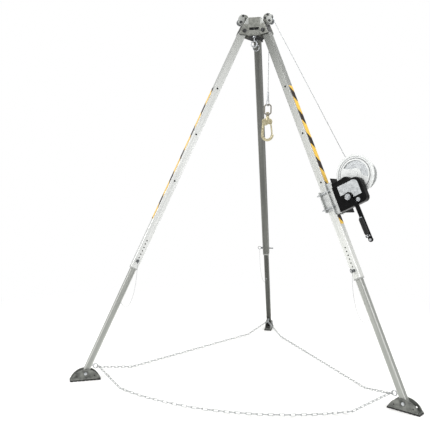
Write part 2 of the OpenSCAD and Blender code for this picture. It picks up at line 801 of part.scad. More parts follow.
module winch_drum() {
  color("#c9ccd0") winch_frame() translate([drum_out, 0, 0]) rotate([90, 0, 0]) {
    // the axis now points to the front, so a place along it is the leg's Y turned over
    translate([0, 0, -82]) cylinder(h = 82 - disc_near, r = 10);
    translate([0, 0, -61]) cylinder(h = 61 - disc_near - 6, r = drum_core);
    translate([0, 0, -66]) cylinder(h = 5 + eps, r = 92);
    difference() {
      union() {
        translate([0, 0, -disc_near - 7]) cylinder(h = 4, r = disc_radius);
        translate([0, 0, -disc_near - 7]) difference() {
          cylinder(h = 7, r = disc_radius);
          translate([0, 0, -1]) cylinder(h = 12, r = disc_radius - 14);
        }
        translate([0, 0, -disc_near - 7]) cylinder(h = 6, r = 98);
        translate([0, 0, -disc_near - 7]) cylinder(h = 8, r = 17);
      }
      // the half moon
      rotate([0, 0, window_turn]) intersection() {
        translate([0, 0, -disc_near - 8]) cylinder(h = 20, r = window_radius);
        difference() {
          span([-130, 14, -disc_near - 9], [130, 130, 90]);
          translate([-34, -10, -disc_near - 10]) cylinder(h = 40, r = 34);
          translate([0, 0, -disc_near - 10]) cylinder(h = 40, r = 20);
        }
      }
    }
  }
}

// a toothed wheel with straight flanks, about Z
module toothed(teeth, height) {
  pitch = gear_module * teeth / 2;
  tip = pitch + 0.8 * gear_module;
  foot = pitch - 1.2 * gear_module;
  half = 1.8;
  at_tip = half - 0.8 * gear_module * tan(22);
  at_foot = half + 1.2 * gear_module * tan(22);
  linear_extrude(height = height)
    polygon([for (k = [0 : teeth - 1], p = [[foot, -at_foot], [tip, -at_tip], [tip, at_tip], [foot, at_foot]])
      let (turn = k * 360 / teeth + p[1] / p[0] * 180 / PI) [p[0] * cos(turn), p[0] * sin(turn)]]);
}

gear_back = -disc_near - 7 - 14;

// the wheel is fixed to the back of the disc, and the pinion meets it along the line of their axes
module drum_gear() {
  color("#6a6d71") winch_frame() translate([drum_out, 0, 0]) rotate([90, 0, 0])
    translate([0, 0, gear_back]) difference() {
      rotate([0, 0, gear_line]) toothed(gear_teeth, 14 - gap);
      translate([0, 0, -1]) cylinder(h = 30, r = 98);
    }
}

crank_tilt = 7.5;
grip_at = [crank_length * sin(crank_tilt), -crank_length * cos(crank_tilt)];
bend_at = [34, -64];
arm_near = -box_near + 6;
arm_far = arm_near + 9;

function left_of(d) = [-d[1], d[0]] / norm(d);

// a flat bar through three points, mitred at the middle one
module bent_arm(a, b, c, half) {
  n1 = left_of(b - a);
  n2 = left_of(c - b);
  mitre = (n1 + n2) / (1 + n1 * n2);
  translate([0, 0, arm_near]) linear_extrude(height = arm_far - arm_near)
    polygon([a + half * n1, a - half * n1, b - half * mitre, c - half * n2, c + half * n2, b + half * mitre]);
}

// puts what follows on the crank's axis, with +Z to the front
module crank_frame() {
  winch_frame() translate([crank_out, 0, -crank_down]) rotate([90, 0, 0]) children();
}

// the grip folds up along the arm, about a pin across the arm's end
arm_way = (bend_at - grip_at) / norm(bend_at - grip_at);
hinge_at = grip_at + 22 * arm_way;
hinge_rise = grip_size / 2 + 0.6;
grip_from = 10;

// puts what follows on the grip's hinge: X across the arm, Y up along it, Z to the front
module hinge_frame() {
  crank_frame() translate([hinge_at[0], hinge_at[1], arm_far + hinge_rise])
    rotate([0, 0, atan2(-arm_way[0], arm_way[1])]) children();
}

// a rod across the arm at the hinge
module hinge_rod(from, to, radius) {
  translate([from, 0, 0]) rotate([0, 90, 0]) cylinder(h = to - from, r = radius);
}

module crank() {
  color("#1c1d1f") {
    crank_frame() {
      // shaft through the casing, with the pinion beside the drum
      translate([0, 0, -82]) cylinder(h = 81 + arm_far, r = 9);
      translate([0, 0, gear_back + 1]) rotate([0, 0, gear_line + 180 + 180 / pinion_teeth])
        toothed(pinion_teeth, 12);
      // hub and arm
      translate([0, 0, ring_rise - box_near + gap])
        cylinder(h = arm_far - ring_rise + box_near - gap, r = 26);
      bent_arm([0, 0], bend_at, grip_at, 12.5);
      translate([grip_at[0], grip_at[1], arm_near]) cylinder(h = arm_far - arm_near, r = 14);
    }
    // the two lugs of the grip's hinge
    hinge_frame() for (s = [-1, 1]) difference() {
      union() {
        span([s > 0 ? 5.3 : -11, -7, -hinge_rise - 2], [s > 0 ? 11 : -5.3, 7, 0]);
        hinge_rod(s > 0 ? 5.3 : -11, s > 0 ? 11 : -5.3, 7);
      }
      hinge_rod(-20, 20, 3 + fit);
    }
  }
}

// the bright nut on the crank's shaft, the bolt at the arm's end and the pin of the grip's hinge
module crank_nut() {
  color("#c8cacd") {
    crank_frame() {
      translate([0, 0, arm_far + 0.1]) cylinder(h = 3, r = 19);
      translate([0, 0, arm_far + 3]) cylinder(h = 9, r = 13, $fn = 6);
      translate([grip_at[0], grip_at[1], arm_far + 0.1]) cylinder(h = 5, r = 8);
    }
    hinge_frame() {
      hinge_rod(-13, 13, 3);
      for (s = [-1, 1]) hinge_rod(s > 0 ? 11.1 : -13, s > 0 ? 13 : -11.1, 5);
    }
  }
}

// the rod that the grip turns on, with an eye round the hinge pin and a washer at its end
module grip_axle() {
  color("#8f9296") hinge_frame() difference() {
    union() {
      hinge_rod(-5, 5, 6.5);
      rotate([-90, 0, 0]) cylinder(h = grip_from + grip_length + 2, r = 4.5);
      translate([0, grip_from + grip_length + 1, 0]) rotate([-90, 0, 0]) cylinder(h = 4, r = 9);
    }
    hinge_rod(-20, 20, 3 + fit);
  }
}

module crank_grip() {
  color("#2a2b2d") hinge_frame() translate([0, grip_from, 0]) rotate([-90, 0, 0]) difference() {
    union() {
      cylinder(h = grip_length, r = grip_size / 2 - 2);
      translate([0, 0, 8]) cylinder(h = grip_length - 16, r = grip_size / 2);
    }
    translate([0, 0, -1]) cylinder(h = grip_length + 2, r = 4.5 + fit);
  }
}

// the wound cable is one unbroken coil
WIND_STEPS = 20;
WIND_SIDES = 6;

function wind_point(k, j) =
  let (turn = k * 360 / WIND_STEPS + cable_wind_end, ring = j * 360 / WIND_SIDES,
       out = (wound_radius + cable_r * cos(ring)) / cos(180 / WIND_STEPS),
       y = cable_side - (k / WIND_STEPS) * wind_pitch + cable_r * sin(ring))
  [out * cos(turn), y, out * sin(turn)];

// the angle on the drum at which the inclined cable arrives, in the leg's frame
cable_wind_end = 180 + cable_lean - lean;

module drum_cable() {
  steps = cable_turns * WIND_STEPS;
  points = [for (k = [0 : steps], j = [0 : WIND_SIDES - 1]) wind_point(k, j)];
  sides = [for (k = [0 : steps - 1], j = [0 : WIND_SIDES - 1])
    let (a = k * WIND_SIDES + j, b = k * WIND_SIDES + (j + 1) % WIND_SIDES)
    [a, b, b + WIND_SIDES, a + WIND_SIDES]];
  ends = [[for (j = [WIND_SIDES - 1 : -1 : 0]) j],
          [for (j = [0 : WIND_SIDES - 1]) steps * WIND_SIDES + j]];
  color("#a4a7aa") leg_frame(RIGHT) translate([drum_out, 0, -drum_down])
    polyhedron(points = points, faces = concat(sides, ends));
  echo(least_gap_between_turns = wind_pitch - cable_size);
}

module winch_cable() {
  a = [cable_from[0], cable_side, cable_from[1]];
  b = [cable_to[0], cable_side, cable_to[1]];
  step = (b - a) * gap / norm(b - a);
  color("#b0b3b7") leg_plane(RIGHT) rod(a + step, b - step, cable_r);
}

module lift_cable() {
  color("#b0b3b7") leg_plane(RIGHT) {
    translate([drop_out, cable_side, ferrule_top + gap])
      cylinder(h = pulley_z - ferrule_top - gap, r = cable_r);
    translate([pulley_out, cable_side, pulley_z]) rotate([90, 0, 0])
      arc_bar(pulley_radius, cable_r, cable_lean, 180 - cable_lean);
  }
}

// Hook, in the tripod's frame

module hook_place(z) {
  on_axis() translate([drop_x, drop_y, z]) children();
}

loop_z = ferrule_top - 82;
loop_radius = 15;
loop_wire = 3.4;
// half the height of the ring that the hook's post turns in, and the post's rise above the hook
ring_half = 8;
post_rise = 146;
bail_bar = 5;
bail_half = bail_height / 2 - bail_bar;
bail_z = loop_z - loop_radius + loop_wire + bail_bar + gap - bail_half;
post_z = bail_z - bail_half;
hook_z = post_z - post_rise;

// a leg of the loop runs into the ferrule, and leaves the bend along its tangent
loop_tip = [-2, 60];
loop_turn = atan2(loop_tip[1], loop_tip[0]) + acos(loop_radius / norm(loop_tip));
loop_leg = loop_radius * [cos(loop_turn), sin(loop_turn)] + join_in * [-sin(loop_turn), cos(loop_turn)];

module cable_eye() {
  color("#b4b7bb") hook_place(0) rotate([0, 0, 62]) {
    translate([0, 0, ferrule_top - 30]) cylinder(h = 30, r = 7);
    translate([0, 0, loop_z]) rotate([90, 0, 0]) {
      arc_bar(loop_radius, loop_wire, loop_turn, 540 - 2 * loop_turn);
      for (s = [-1, 1]) rod([-s * loop_leg[0], loop_leg[1], 0], [-s * loop_tip[0], loop_tip[1], 0],
                            loop_wire - join_step);
    }
  }
}

// the rounded bail, with the ring that the hook's post turns in
module hook_bail() {
  corner = 16;
  w = bail_width / 2 - bail_bar;
  h = bail_half;
  color("#b9a06a") hook_place(bail_z) difference() {
    union() {
      rotate([90, 0, 0]) {
        for (x = [-1, 1], y = [-1, 1]) translate([x * (w - corner), y * (h - corner), 0])
          arc_bar(corner, bail_bar, x > 0 ? (y > 0 ? 0 : 270) : (y > 0 ? 90 : 180), 90);
        for (y = [-1, 1]) rod([-w + corner, y * h, 0], [w - corner, y * h, 0], bail_bar);
        for (x = [-1, 1]) rod([x * w, -h + corner, 0], [x * w, h - corner, 0], bail_bar);
      }
      translate([0, 0, -h - ring_half]) cylinder(h = 2 * ring_half, r = 13);
    }
    translate([0, 0, -h - 20]) cylinder(h = 40, r = 6 + fit);
  }
}

gate_pin = [24, 84];
nose_turn = -8;
nose_ball = hook_bar / 2 + 1;
nose_at = hook_bend * [cos(nose_turn), sin(nose_turn)];
// the gate ends just short of the nose
gate_foot = nose_at + (gate_pin - nose_at) * (nose_ball + 2 * gap) / norm(gate_pin - nose_at);
back_tilt = 4;
back_from = hook_bend * [-cos(back_tilt), sin(back_tilt)];
back_rise = 86 - back_from[1];

module hook_body() {
  color("#c39a3f") hook_place(hook_z) difference() {
    union() {
      // bend, nose and back
      rotate([90, 0, 0]) arc_bar(hook_bend, hook_bar / 2, 180 - back_tilt, 180 + back_tilt + nose_turn);
      translate([nose_at[0], 0, nose_at[1]]) sphere(r = nose_ball);
      rod([back_from[0] - join_in * tan(back_tilt), 0, back_from[1] - join_in],
          [back_from[0] + back_rise * tan(back_tilt), 0, back_from[1] + back_rise], hook_bar / 2 - join_step);
      // shoulder and neck
      across(-16, 92, -11, 11, 24);
      across(14, 96, -11, 11, 20);
      span([-16, -11, 92], [14, 11, 116]);
      translate([0, 0, 104]) cylinder(h = 32, r1 = 14, r2 = 11);
      translate([0, 0, 130]) cylinder(h = 28, r = 6);
      translate([0, 0, post_rise + ring_half + gap]) cylinder(h = 7, r = 10);
    }
    // slot for the gate
    span([gate_pin[0] - 13, -6 - gap, 60], [60, 6 + gap, gate_pin[1] + 10]);
    across(gate_pin[0], gate_pin[1], -20, 20, 3 + fit);
  }
}

module hook_gate() {
  foot = [gate_foot[0], 0, gate_foot[1]];
  top = [gate_pin[0], 0, gate_pin[1]];
  color("#b9bcc0") hook_place(hook_z) {
    across(gate_pin[0], gate_pin[1], -13, 13, 3);
    across(gate_pin[0], gate_pin[1], -6, 6, 8);
    rod(foot, top, 5.5);
  }
}

head_casting();
head_bolts();
eyebolt_front();
eyebolt_rear();
pulley_guards();
pulley_left();
pulley_right();
lift_cable();
outer_tube(LEFT);  // outer_tube_left
outer_tube(RIGHT);  // outer_tube_right
outer_tube(REAR);  // outer_tube_rear
tape(LEFT);  // tape_left
tape(RIGHT);  // tape_right
tape(REAR);  // tape_rear
leg_caps(LEFT);  // leg_caps_left
leg_caps(RIGHT);  // leg_caps_right
leg_caps(REAR);  // leg_caps_rear
inner_tube(LEFT);  // inner_tube_left
inner_tube(RIGHT);  // inner_tube_right
inner_tube(REAR);  // inner_tube_rear
leg_fittings(LEFT);  // leg_fittings_left
leg_fittings(RIGHT);  // leg_fittings_right
leg_fittings(REAR);  // leg_fittings_rear
lock_pin(LEFT);  // lock_pin_left
lock_pin(RIGHT);  // lock_pin_right
lock_pin(REAR);  // lock_pin_rear
pin_tether(LEFT);  // pin_tether_left
pin_tether(RIGHT);  // pin_tether_right
pin_tether(REAR);  // pin_tether_rear
shoe(LEFT);  // shoe_left
shoe(RIGHT);  // shoe_right
shoe(REAR);  // shoe_rear
sole(LEFT);  // sole_left
sole(RIGHT);  // sole_right
sole(REAR);  // sole_rear
chain_end(LEFT);  // chain_end_left
chain_end(RIGHT);  // chain_end_right
chain_end(REAR);  // chain_end_rear
chain_run(LEFT);  // chain_run_left
chain_run(RIGHT);  // chain_run_right
chain_run(REAR);  // chain_run_rear
winch_bracket();
winch_bolts();
winch_gearbox();
winch_label();
winch_bosses();
winch_drum();
drum_gear();
drum_cable();
winch_cable();
crank();
crank_nut();
grip_axle();
crank_grip();
cable_eye();
hook_bail();
hook_body();
hook_gate();
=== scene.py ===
# %% [markdown]
# # A rescue tripod with a hand winch
# This lesson dresses a finished CAD model. The solids come in as a fixed frame, with every bolt in its
# place, and Blender adds what CAD leaves out: finishes, stranded cable, a loose chain and soft light.
# All lengths are in metres in the part's own frame, and sizes taken from drawings are in millimetres.

# %% Load the frame
import json
import math

import bmesh
import bpy
from mathutils import Matrix, Vector

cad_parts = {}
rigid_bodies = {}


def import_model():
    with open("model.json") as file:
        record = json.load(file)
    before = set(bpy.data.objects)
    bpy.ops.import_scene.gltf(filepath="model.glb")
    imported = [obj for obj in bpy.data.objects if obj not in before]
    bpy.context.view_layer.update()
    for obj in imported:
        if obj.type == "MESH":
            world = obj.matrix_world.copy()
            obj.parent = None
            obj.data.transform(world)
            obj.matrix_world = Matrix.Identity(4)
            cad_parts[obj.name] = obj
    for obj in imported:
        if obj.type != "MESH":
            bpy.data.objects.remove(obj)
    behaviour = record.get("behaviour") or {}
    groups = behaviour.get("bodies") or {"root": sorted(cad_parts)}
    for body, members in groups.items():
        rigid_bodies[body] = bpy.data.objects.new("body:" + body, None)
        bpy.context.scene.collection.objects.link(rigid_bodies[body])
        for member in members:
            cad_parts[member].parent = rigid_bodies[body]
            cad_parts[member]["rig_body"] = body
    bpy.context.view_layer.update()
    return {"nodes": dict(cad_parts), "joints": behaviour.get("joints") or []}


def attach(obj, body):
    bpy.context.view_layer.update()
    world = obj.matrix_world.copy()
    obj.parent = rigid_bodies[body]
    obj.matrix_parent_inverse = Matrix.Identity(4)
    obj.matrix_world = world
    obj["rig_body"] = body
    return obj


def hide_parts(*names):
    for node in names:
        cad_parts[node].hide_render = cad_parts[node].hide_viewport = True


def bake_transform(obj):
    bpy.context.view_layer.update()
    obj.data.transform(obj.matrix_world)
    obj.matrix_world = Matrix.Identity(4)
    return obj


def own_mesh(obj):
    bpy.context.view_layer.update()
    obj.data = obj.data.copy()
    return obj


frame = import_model()
MM = 0.001
JOINTS = {j["name"]: j for j in frame["joints"]}
LEGS = ("left", "right", "rear")

# %% [markdown]
# ## Where things are
# A leg leans, so it is easier to work in its own axes than in X, Y and Z. The joints of the frame already
# hold them: a leg folds about an axis across it, and its inner tube slides along it. The third axis points
# out of the leg's outer face. Any place on a leg is then three plain numbers in millimetres.

# %% Axes of the legs
PIVOT_DOWN = 45
ACROSS = {n: Vector(JOINTS["fold_" + n]["axis"]) for n in LEGS}
UPWARD = {n: Vector(JOINTS["telescope_" + n]["axis"]) for n in LEGS}
OUTWARD = {n: ACROSS[n].cross(UPWARD[n]) for n in LEGS}
TOP = {n: Vector(JOINTS["fold_" + n]["pos_m"]) + PIVOT_DOWN * MM * UPWARD[n] for n in LEGS}
AXIS_Y = sum(TOP[n].y for n in LEGS) / 3


def on_leg(name, out, across, down):
    """A point on a leg, in millimetres from the leg's top end."""
    return TOP[name] + MM * (out * OUTWARD[name] + across * ACROSS[name] - down * UPWARD[name])


def in_plane(angle, radius, across, height):
    """A point in the upright plane at an angle round the tripod's axis, in millimetres."""
    c, s = math.cos(math.radians(angle)), math.sin(math.radians(angle))
    return Vector((MM * (radius * c - across * s), AXIS_Y + MM * (radius * s + across * c), MM * height))


ANGLE = {n: math.degrees(math.atan2(TOP[n].y - AXIS_Y, TOP[n].x)) % 360 for n in LEGS}
print("legs at", {n: round(a) for n, a in ANGLE.items()}, "axis at y", round(AXIS_Y, 4))

# %% [markdown]
# ## The camera
# The picture was taken from standing height, a little to the right, with a normal lens. Its place and turn
# were found by fitting the feet, the tube ends and the head to their places in the picture, so the camera
# is written as a position and three axes, not aimed by hand.

# %% Camera
FOCAL_PIXELS, FRAME_PIXELS, SENSOR_WIDTH = 539.2, 430, 36
STAND = Vector((0.588, AXIS_Y - 3.828, 1.222))
TURN, TILT, ROLL = (math.radians(a) for a in (12.674, 1.997, 0.918))
back = Vector((math.sin(TURN) * math.cos(TILT), -math.cos(TURN) * math.cos(TILT), math.sin(TILT)))
level = Vector((math.cos(TURN), math.sin(TURN), 0))
upright = back.cross(level)
right = math.cos(ROLL) * level + math.sin(ROLL) * upright
up = math.cos(ROLL) * upright - math.sin(ROLL) * level
eye = bpy.data.cameras.new("photo_camera")
eye.sensor_width = SENSOR_WIDTH
eye.lens = SENSOR_WIDTH * FOCAL_PIXELS / FRAME_PIXELS
camera = bpy.data.objects.new("photo_camera", eye)
bpy.context.scene.collection.objects.link(camera)
camera.matrix_world = Matrix.Translation(STAND) @ Matrix((right, up, back)).transposed().to_4x4()
bpy.context.scene.camera = camera
print("lens", round(eye.lens, 1), "mm")

# %% [markdown]
# ## One helper for nodes
# Materials and geometry trees are both nodes with settings and links. One small function adds a node, sets
# its properties, and either links a socket or writes a value. Colours are written as the hex values that a
# paint chart or an image shows, and turned to the linear values that light is summed in.

# %% Helpers for nodes


def put(tree, kind, inputs=(), **settings):
    """Adds a node: settings are its properties, and inputs give each socket a link or a value."""
    made = tree.nodes.new(kind)
    for key, value in settings.items():
        setattr(made, key, value)
    for key, value in dict(inputs).items():
        if isinstance(value, bpy.types.NodeSocket):
            tree.links.new(value, made.inputs[key])
        else:
            made.inputs[key].default_value = value
    return made


# a Mix node has sockets for numbers, vectors and colours, and these are the places of its colour ones
MIX_A, MIX_B, MIX_OUT = 6, 7, 2


def linear(code):
    """An sRGB hex value as linear RGBA."""
    parts = [int(code[i:i + 2], 16) / 255 for i in (1, 3, 5)]
    return tuple(p / 12.92 if p <= 0.04045 else ((p + 0.055) / 1.055) ** 2.4 for p in parts) + (1.0,)


def per_mm(size):
    """The scale of a pattern whose grains are so many millimetres wide."""
    return 1 / (size * MM)


def start(name, metallic, roughness):
    """A new material with its shader, and the object's own coordinates."""
    material = bpy.data.materials.new(name)
    material.use_nodes = True
    tree = material.node_tree
    tree.nodes.clear()
    shader = put(tree, "ShaderNodeBsdfPrincipled", {"Metallic": metallic, "Roughness": roughness})
    put(tree, "ShaderNodeOutputMaterial", {"Surface": shader.outputs["BSDF"]})
    place = put(tree, "ShaderNodeTexCoord").outputs["Object"]
    return material, tree, shader, place


print("node helpers ready")

# %% [markdown]
# ## Masks
# A mask is a number from 0 to 1 for every spot of a surface, and says where a second colour shows. Rubbed
# edges come from comparing the true normal with one that is rounded over a small radius. Stains, painted
# shade and painted highlights come from limits along an axis of the part's own frame, so they stay in place
# when the object is seen from any side.

# %% Helpers for masks


def worn_edges(tree, place, radius, patch):
    """A mask that is 1 along edges worn bare, broken up by a noise, and the rounded normal it comes from."""
    soft = put(tree, "ShaderNodeBevel", {"Radius": radius * MM}, samples=4).outputs["Normal"]
    flat = put(tree, "ShaderNodeNewGeometry").outputs["Normal"]
    same = put(tree, "ShaderNodeVectorMath", {0: soft, 1: flat}, operation="DOT_PRODUCT").outputs["Value"]
    edge = put(tree, "ShaderNodeMapRange", {"Value": same, "From Min": 0.995, "From Max": 0.86})
    noise = put(tree, "ShaderNodeTexNoise", {"Vector": place, "Scale": per_mm(patch), "Detail": 4.0})
    wear_and_highlight = put(tree, "ShaderNodeMapRange",
                 {"Value": noise.outputs["Fac"], "From Min": 0.46, "From Max": 0.6})
    mask = put(tree, "ShaderNodeMath", {0: edge.outputs["Result"], 1: wear_and_highlight.outputs["Result"]},
               operation="MULTIPLY")
    return mask.outputs["Value"], soft


def tinted(tree, shader, fac, low, high, mask=None, bare=None):
    """Colours the shader between two hex values, with a third where the mask is on."""
    mixed = put(tree, "ShaderNodeMix", {0: fac, MIX_A: linear(low), MIX_B: linear(high)}, data_type="RGBA")
    if mask is not None:
        mixed = put(tree, "ShaderNodeMix", {0: mask, MIX_A: mixed.outputs[MIX_OUT], MIX_B: linear(bare)},
                    data_type="RGBA")
    tree.links.new(mixed.outputs[MIX_OUT], shader.inputs["Base Color"])


# metres: the end of a range that nothing on the object reaches
OPEN_END = 1


def between(tree, value, low, high, soft):
    """1 where a value lies between two limits, with soft ends."""
    rise = put(tree, "ShaderNodeMapRange", {"Value": value, "From Min": low - soft, "From Max": low + soft})
    fall = put(tree, "ShaderNodeMapRange", {"Value": value, "From Min": high + soft, "From Max": high - soft})
    both = put(tree, "ShaderNodeMath", {0: rise.outputs[0], 1: fall.outputs[0]}, operation="MULTIPLY")
    return both.outputs[0]


def slab(tree, vector, axis, low, high, soft):
    """1 where the part of a vector along an axis lies between two limits, with soft ends."""
    part = put(tree, "ShaderNodeVectorMath", {0: vector, 1: tuple(axis)}, operation="DOT_PRODUCT")
    return between(tree, part.outputs["Value"], low, high, soft)


def stain_and_painted_light(material, mask, code):
    """Puts another colour on a finished material where the mask is on, for a stain or for painted light and
    shade.
    """
    tree = material.node_tree
    shader = next(n for n in tree.nodes if n.type == "BSDF_PRINCIPLED")
    under = shader.inputs["Base Color"].links[0].from_socket
    over = put(tree, "ShaderNodeMix", {0: mask, MIX_A: under, MIX_B: linear(code)}, data_type="RGBA")
    tree.links.new(over.outputs[MIX_OUT], shader.inputs["Base Color"])


print("mask helpers ready")

# %% [markdown]
# ## Extruded aluminium
# The legs are square tube pressed through a die, left in mill finish. The die leaves streaks along the tube,
# so the noise is stretched along the leg: over a centimetre wide, which still shows from across a room, and
# half a metre long. The corners get a painted highlight. Inside, and in the walls of its side holes, a tube
# gets a painted shade, but behind the lock holes further down there is the bright inner tube. The inner tubes
# are rubbed dull by sliding. The rear leg's tubes are a little rougher, and a painted shade makes them
# darker.

# %% Tube finish
DIE_LINE, DIE_LENGTH, CORNER_HIGHLIGHT, CORNER_HIGHLIGHT_SOFT = 13, 500, 5, 1
TUBE_SKIN, SKIN_SOFT, DARK_DOWN, DARK_SOFT = 0.8, 0.3, 1500, 10


def extruded_aluminium(leg, half, name, low, high, wear_and_highlight, roughness):
    """A tube of one leg, with half its width: streaks along it, a painted highlight on the corners and a
    painted shade inside.
    """
    material, tree, shader, place = start(name, metallic=0.55, roughness=roughness)
    local = put(tree, "ShaderNodeVectorMath", {0: place, 1: tuple(TOP[leg])}, operation="SUBTRACT").outputs[0]
    across, out, way = (put(tree, "ShaderNodeVectorMath", {0: local, 1: tuple(axis)},
                            operation="DOT_PRODUCT").outputs["Value"]
                        for axis in (ACROSS[leg], OUTWARD[leg], UPWARD[leg]))
    stretched = [put(tree, "ShaderNodeMath", {0: value, 1: per_mm(size)}, operation="MULTIPLY").outputs[0]
                 for value, size in ((across, DIE_LINE), (out, DIE_LINE), (way, DIE_LENGTH))]
    drawn = put(tree, "ShaderNodeCombineXYZ", dict(enumerate(stretched))).outputs["Vector"]
    lines = put(tree, "ShaderNodeTexNoise", {"Vector": drawn, "Scale": 1.0, "Detail": 1.0}).outputs["Fac"]
    tone = put(tree, "ShaderNodeMapRange", {"Value": lines, "From Min": 0.34, "From Max": 0.66})
    tinted(tree, shader, tone.outputs["Result"], low, high)
    rough = put(tree, "ShaderNodeMapRange",
                {"Value": lines, "To Min": roughness - 0.06, "To Max": roughness + 0.08})
    tree.links.new(rough.outputs["Result"], shader.inputs["Roughness"])
    sides = dict(enumerate(put(tree, "ShaderNodeMath", {0: value}, operation="ABSOLUTE").outputs[0]
                           for value in (across, out)))
    widest = put(tree, "ShaderNodeMath", sides, operation="MAXIMUM").outputs[0]
    corner = put(tree, "ShaderNodeMath", sides, operation="MINIMUM").outputs[0]
    # a painted highlight along the tube's corners
    stain_and_painted_light(material, between(tree, corner, (half - CORNER_HIGHLIGHT) * MM, OPEN_END, CORNER_HIGHLIGHT_SOFT * MM), wear_and_highlight)
    # a painted shade inside the tube and in the walls of its holes, but not behind the lock holes lower down
    inside = between(tree, widest, -OPEN_END, (half - TUBE_SKIN) * MM, SKIN_SOFT * MM)
    upper = between(tree, way, -DARK_DOWN * MM, OPEN_END, DARK_SOFT * MM)
    dark = put(tree, "ShaderNodeMath", {0: inside, 1: upper}, operation="MULTIPLY").outputs[0]
    stain_and_painted_light(material, dark, "#0c0c0c")
    return material


OUTER_HALF, INNER_HALF = 25.4, 19.05
# a look is a material's name, two tones of its streaks, the painted corner highlight and the roughness
# the rear leg's looks are darker as painted shade, and the left and right outer looks differ a little in tone
# as painted light
OUTER_LOOK = {"left": ("extruded_aluminium_left", "#d2d4d2", "#e2e3e1", "#eff0ee", 0.42),
              "right": ("extruded_aluminium_right", "#d8dad6", "#e4e5e1", "#f4f5f2", 0.42),
              "rear": ("dull_extruded_aluminium", "#5b5c59", "#6f706c", "#82837f", 0.5)}
INNER_LOOK = {"left": ("rubbed_aluminium_left", "#949692", "#aaaca7", "#c9cac6", 0.46),
              "right": ("rubbed_aluminium_right", "#949692", "#aaaca7", "#c9cac6", 0.46),
              "rear": ("rubbed_dull_aluminium", "#464744", "#585955", "#6a6b67", 0.55)}
OUTER = {n: extruded_aluminium(n, OUTER_HALF, *OUTER_LOOK[n]) for n in LEGS}
INNER = {n: extruded_aluminium(n, INNER_HALF, *INNER_LOOK[n]) for n in LEGS}
print("tubes", [m.name for m in (*OUTER.values(), *INNER.values())])

# %% [markdown]
# ## Hazard tape
# A strip of printed vinyl film runs down the outer face of each leg. The bars slant across it, so the
# pattern is a sum of the way down the leg and the way across it, cut off after each period. The film is
# glossy, with fine scuffs that dull it.

# %% Tape film
TAPE_PERIOD, TAPE_BLACK, TAPE_SLANT, SCUFF_SIZE = 174, 0.44, 0.9, 9


def hazard_film(leg):
    material, tree, shader, place = start("vinyl_hazard_film_" + leg, metallic=0.0, roughness=0.32)
    shader.inputs["Specular IOR Level"].default_value = 0.2
    way = (UPWARD[leg] + TAPE_SLANT * ACROSS[leg]) * per_mm(TAPE_PERIOD)
    phase = put(tree, "ShaderNodeVectorMath", {0: place, 1: tuple(way)}, operation="DOT_PRODUCT")
    part = put(tree, "ShaderNodeMath", {0: phase.outputs["Value"]}, operation="FRACT")
    bar = put(tree, "ShaderNodeMath", {0: part.outputs["Value"], 1: TAPE_BLACK}, operation="LESS_THAN")
    noise = put(tree, "ShaderNodeTexNoise", {"Vector": place, "Scale": per_mm(SCUFF_SIZE), "Detail": 6.0})
    scuff = noise.outputs["Fac"]
    grey = put(tree, "ShaderNodeMapRange",
               {"Value": scuff, "From Min": 0.62, "From Max": 0.8, "To Max": 0.35})
    tinted(tree, shader, bar.outputs["Value"], "#eabf4e", "#24170d", grey.outputs["Result"], "#c9bd9c")
    rough = put(tree, "ShaderNodeMapRange", {"Value": scuff, "To Min": 0.22, "To Max": 0.5})
    tree.links.new(rough.outputs["Result"], shader.inputs["Roughness"])
    return material


TAPE = {n: hazard_film(n) for n in LEGS}
print("tape period", TAPE_PERIOD, "mm")

# %% [markdown]
# ## Castings, paints and platings
# The other finishes differ in colour, gloss and grain but are built alike: a fine grain that dents the
# surface, broad clouds that shift the colour, and edges where handling has rubbed the finish. So one
# function takes the real sizes of these, and each finish is a line in a table.

# %% Solid finishes
RUBBED_PATCH = 12


def finish(name, metallic, roughness, low, high, bare, grain, depth, cloud, edge=1.2, shine=0.5):
    """A solid finish: grain, depth, cloud and edge are in millimetres, and bare colours the edges worn bare.
    """
    material, tree, shader, place = start(name, metallic, roughness)
    shader.inputs["Specular IOR Level"].default_value = shine
    fine, wide = (put(tree, "ShaderNodeTexNoise",
                      {"Vector": place, "Scale": per_mm(size), "Detail": detail}).outputs["Fac"]
                  for size, detail in ((grain, 4.0), (cloud, 5.0)))
    tone = put(tree, "ShaderNodeMapRange", {"Value": wide, "From Min": 0.32, "From Max": 0.68})
    rounded = {}
    if bare:
        mask, rounded["Normal"] = worn_edges(tree, place, edge, RUBBED_PATCH)
        tinted(tree, shader, tone.outputs["Result"], low, high, mask, bare)
    else:
        tinted(tree, shader, tone.outputs["Result"], low, high)
    rough = put(tree, "ShaderNodeMapRange",
                {"Value": wide, "To Min": roughness - 0.1, "To Max": roughness + 0.1})
    tree.links.new(rough.outputs["Result"], shader.inputs["Roughness"])
    bump = put(tree, "ShaderNodeBump", {"Height": fine, "Strength": 0.6, "Distance": depth * MM, **rounded})
    tree.links.new(bump.outputs["Normal"], shader.inputs["Normal"])
    return material


print("finish helper ready")

# %% The finishes
# sand casting keeps the grain of the mould, so it is rough and mottled
CAST = finish("sand_cast_aluminium", 0.5, 0.6, "#73756f", "#94958f", "#b9bbb8", 2.4, 0.5, 18, 2.0)
# bright zinc is thin, bluish and cloudy, and follows every mark under it
ZINC = finish("bright_zinc_plate", 0.9, 0.34, "#a5a8ab", "#c4c7c9", None, 1.2, 0.06, 14)
# a bent channel of plated sheet is pale and even, with broad faint clouds
SHEET = finish("zinc_plated_sheet_steel", 0.7, 0.42, "#bcbebd", "#d3d5d3", None, 1.6, 0.05, 40)
# the hook's bail is forged steel that has lost its yellow film
BAIL = finish("rubbed_forged_steel", 0.6, 0.42, "#77736a", "#8f8b80", "#a7a49b", 1.4, 0.08, 11)
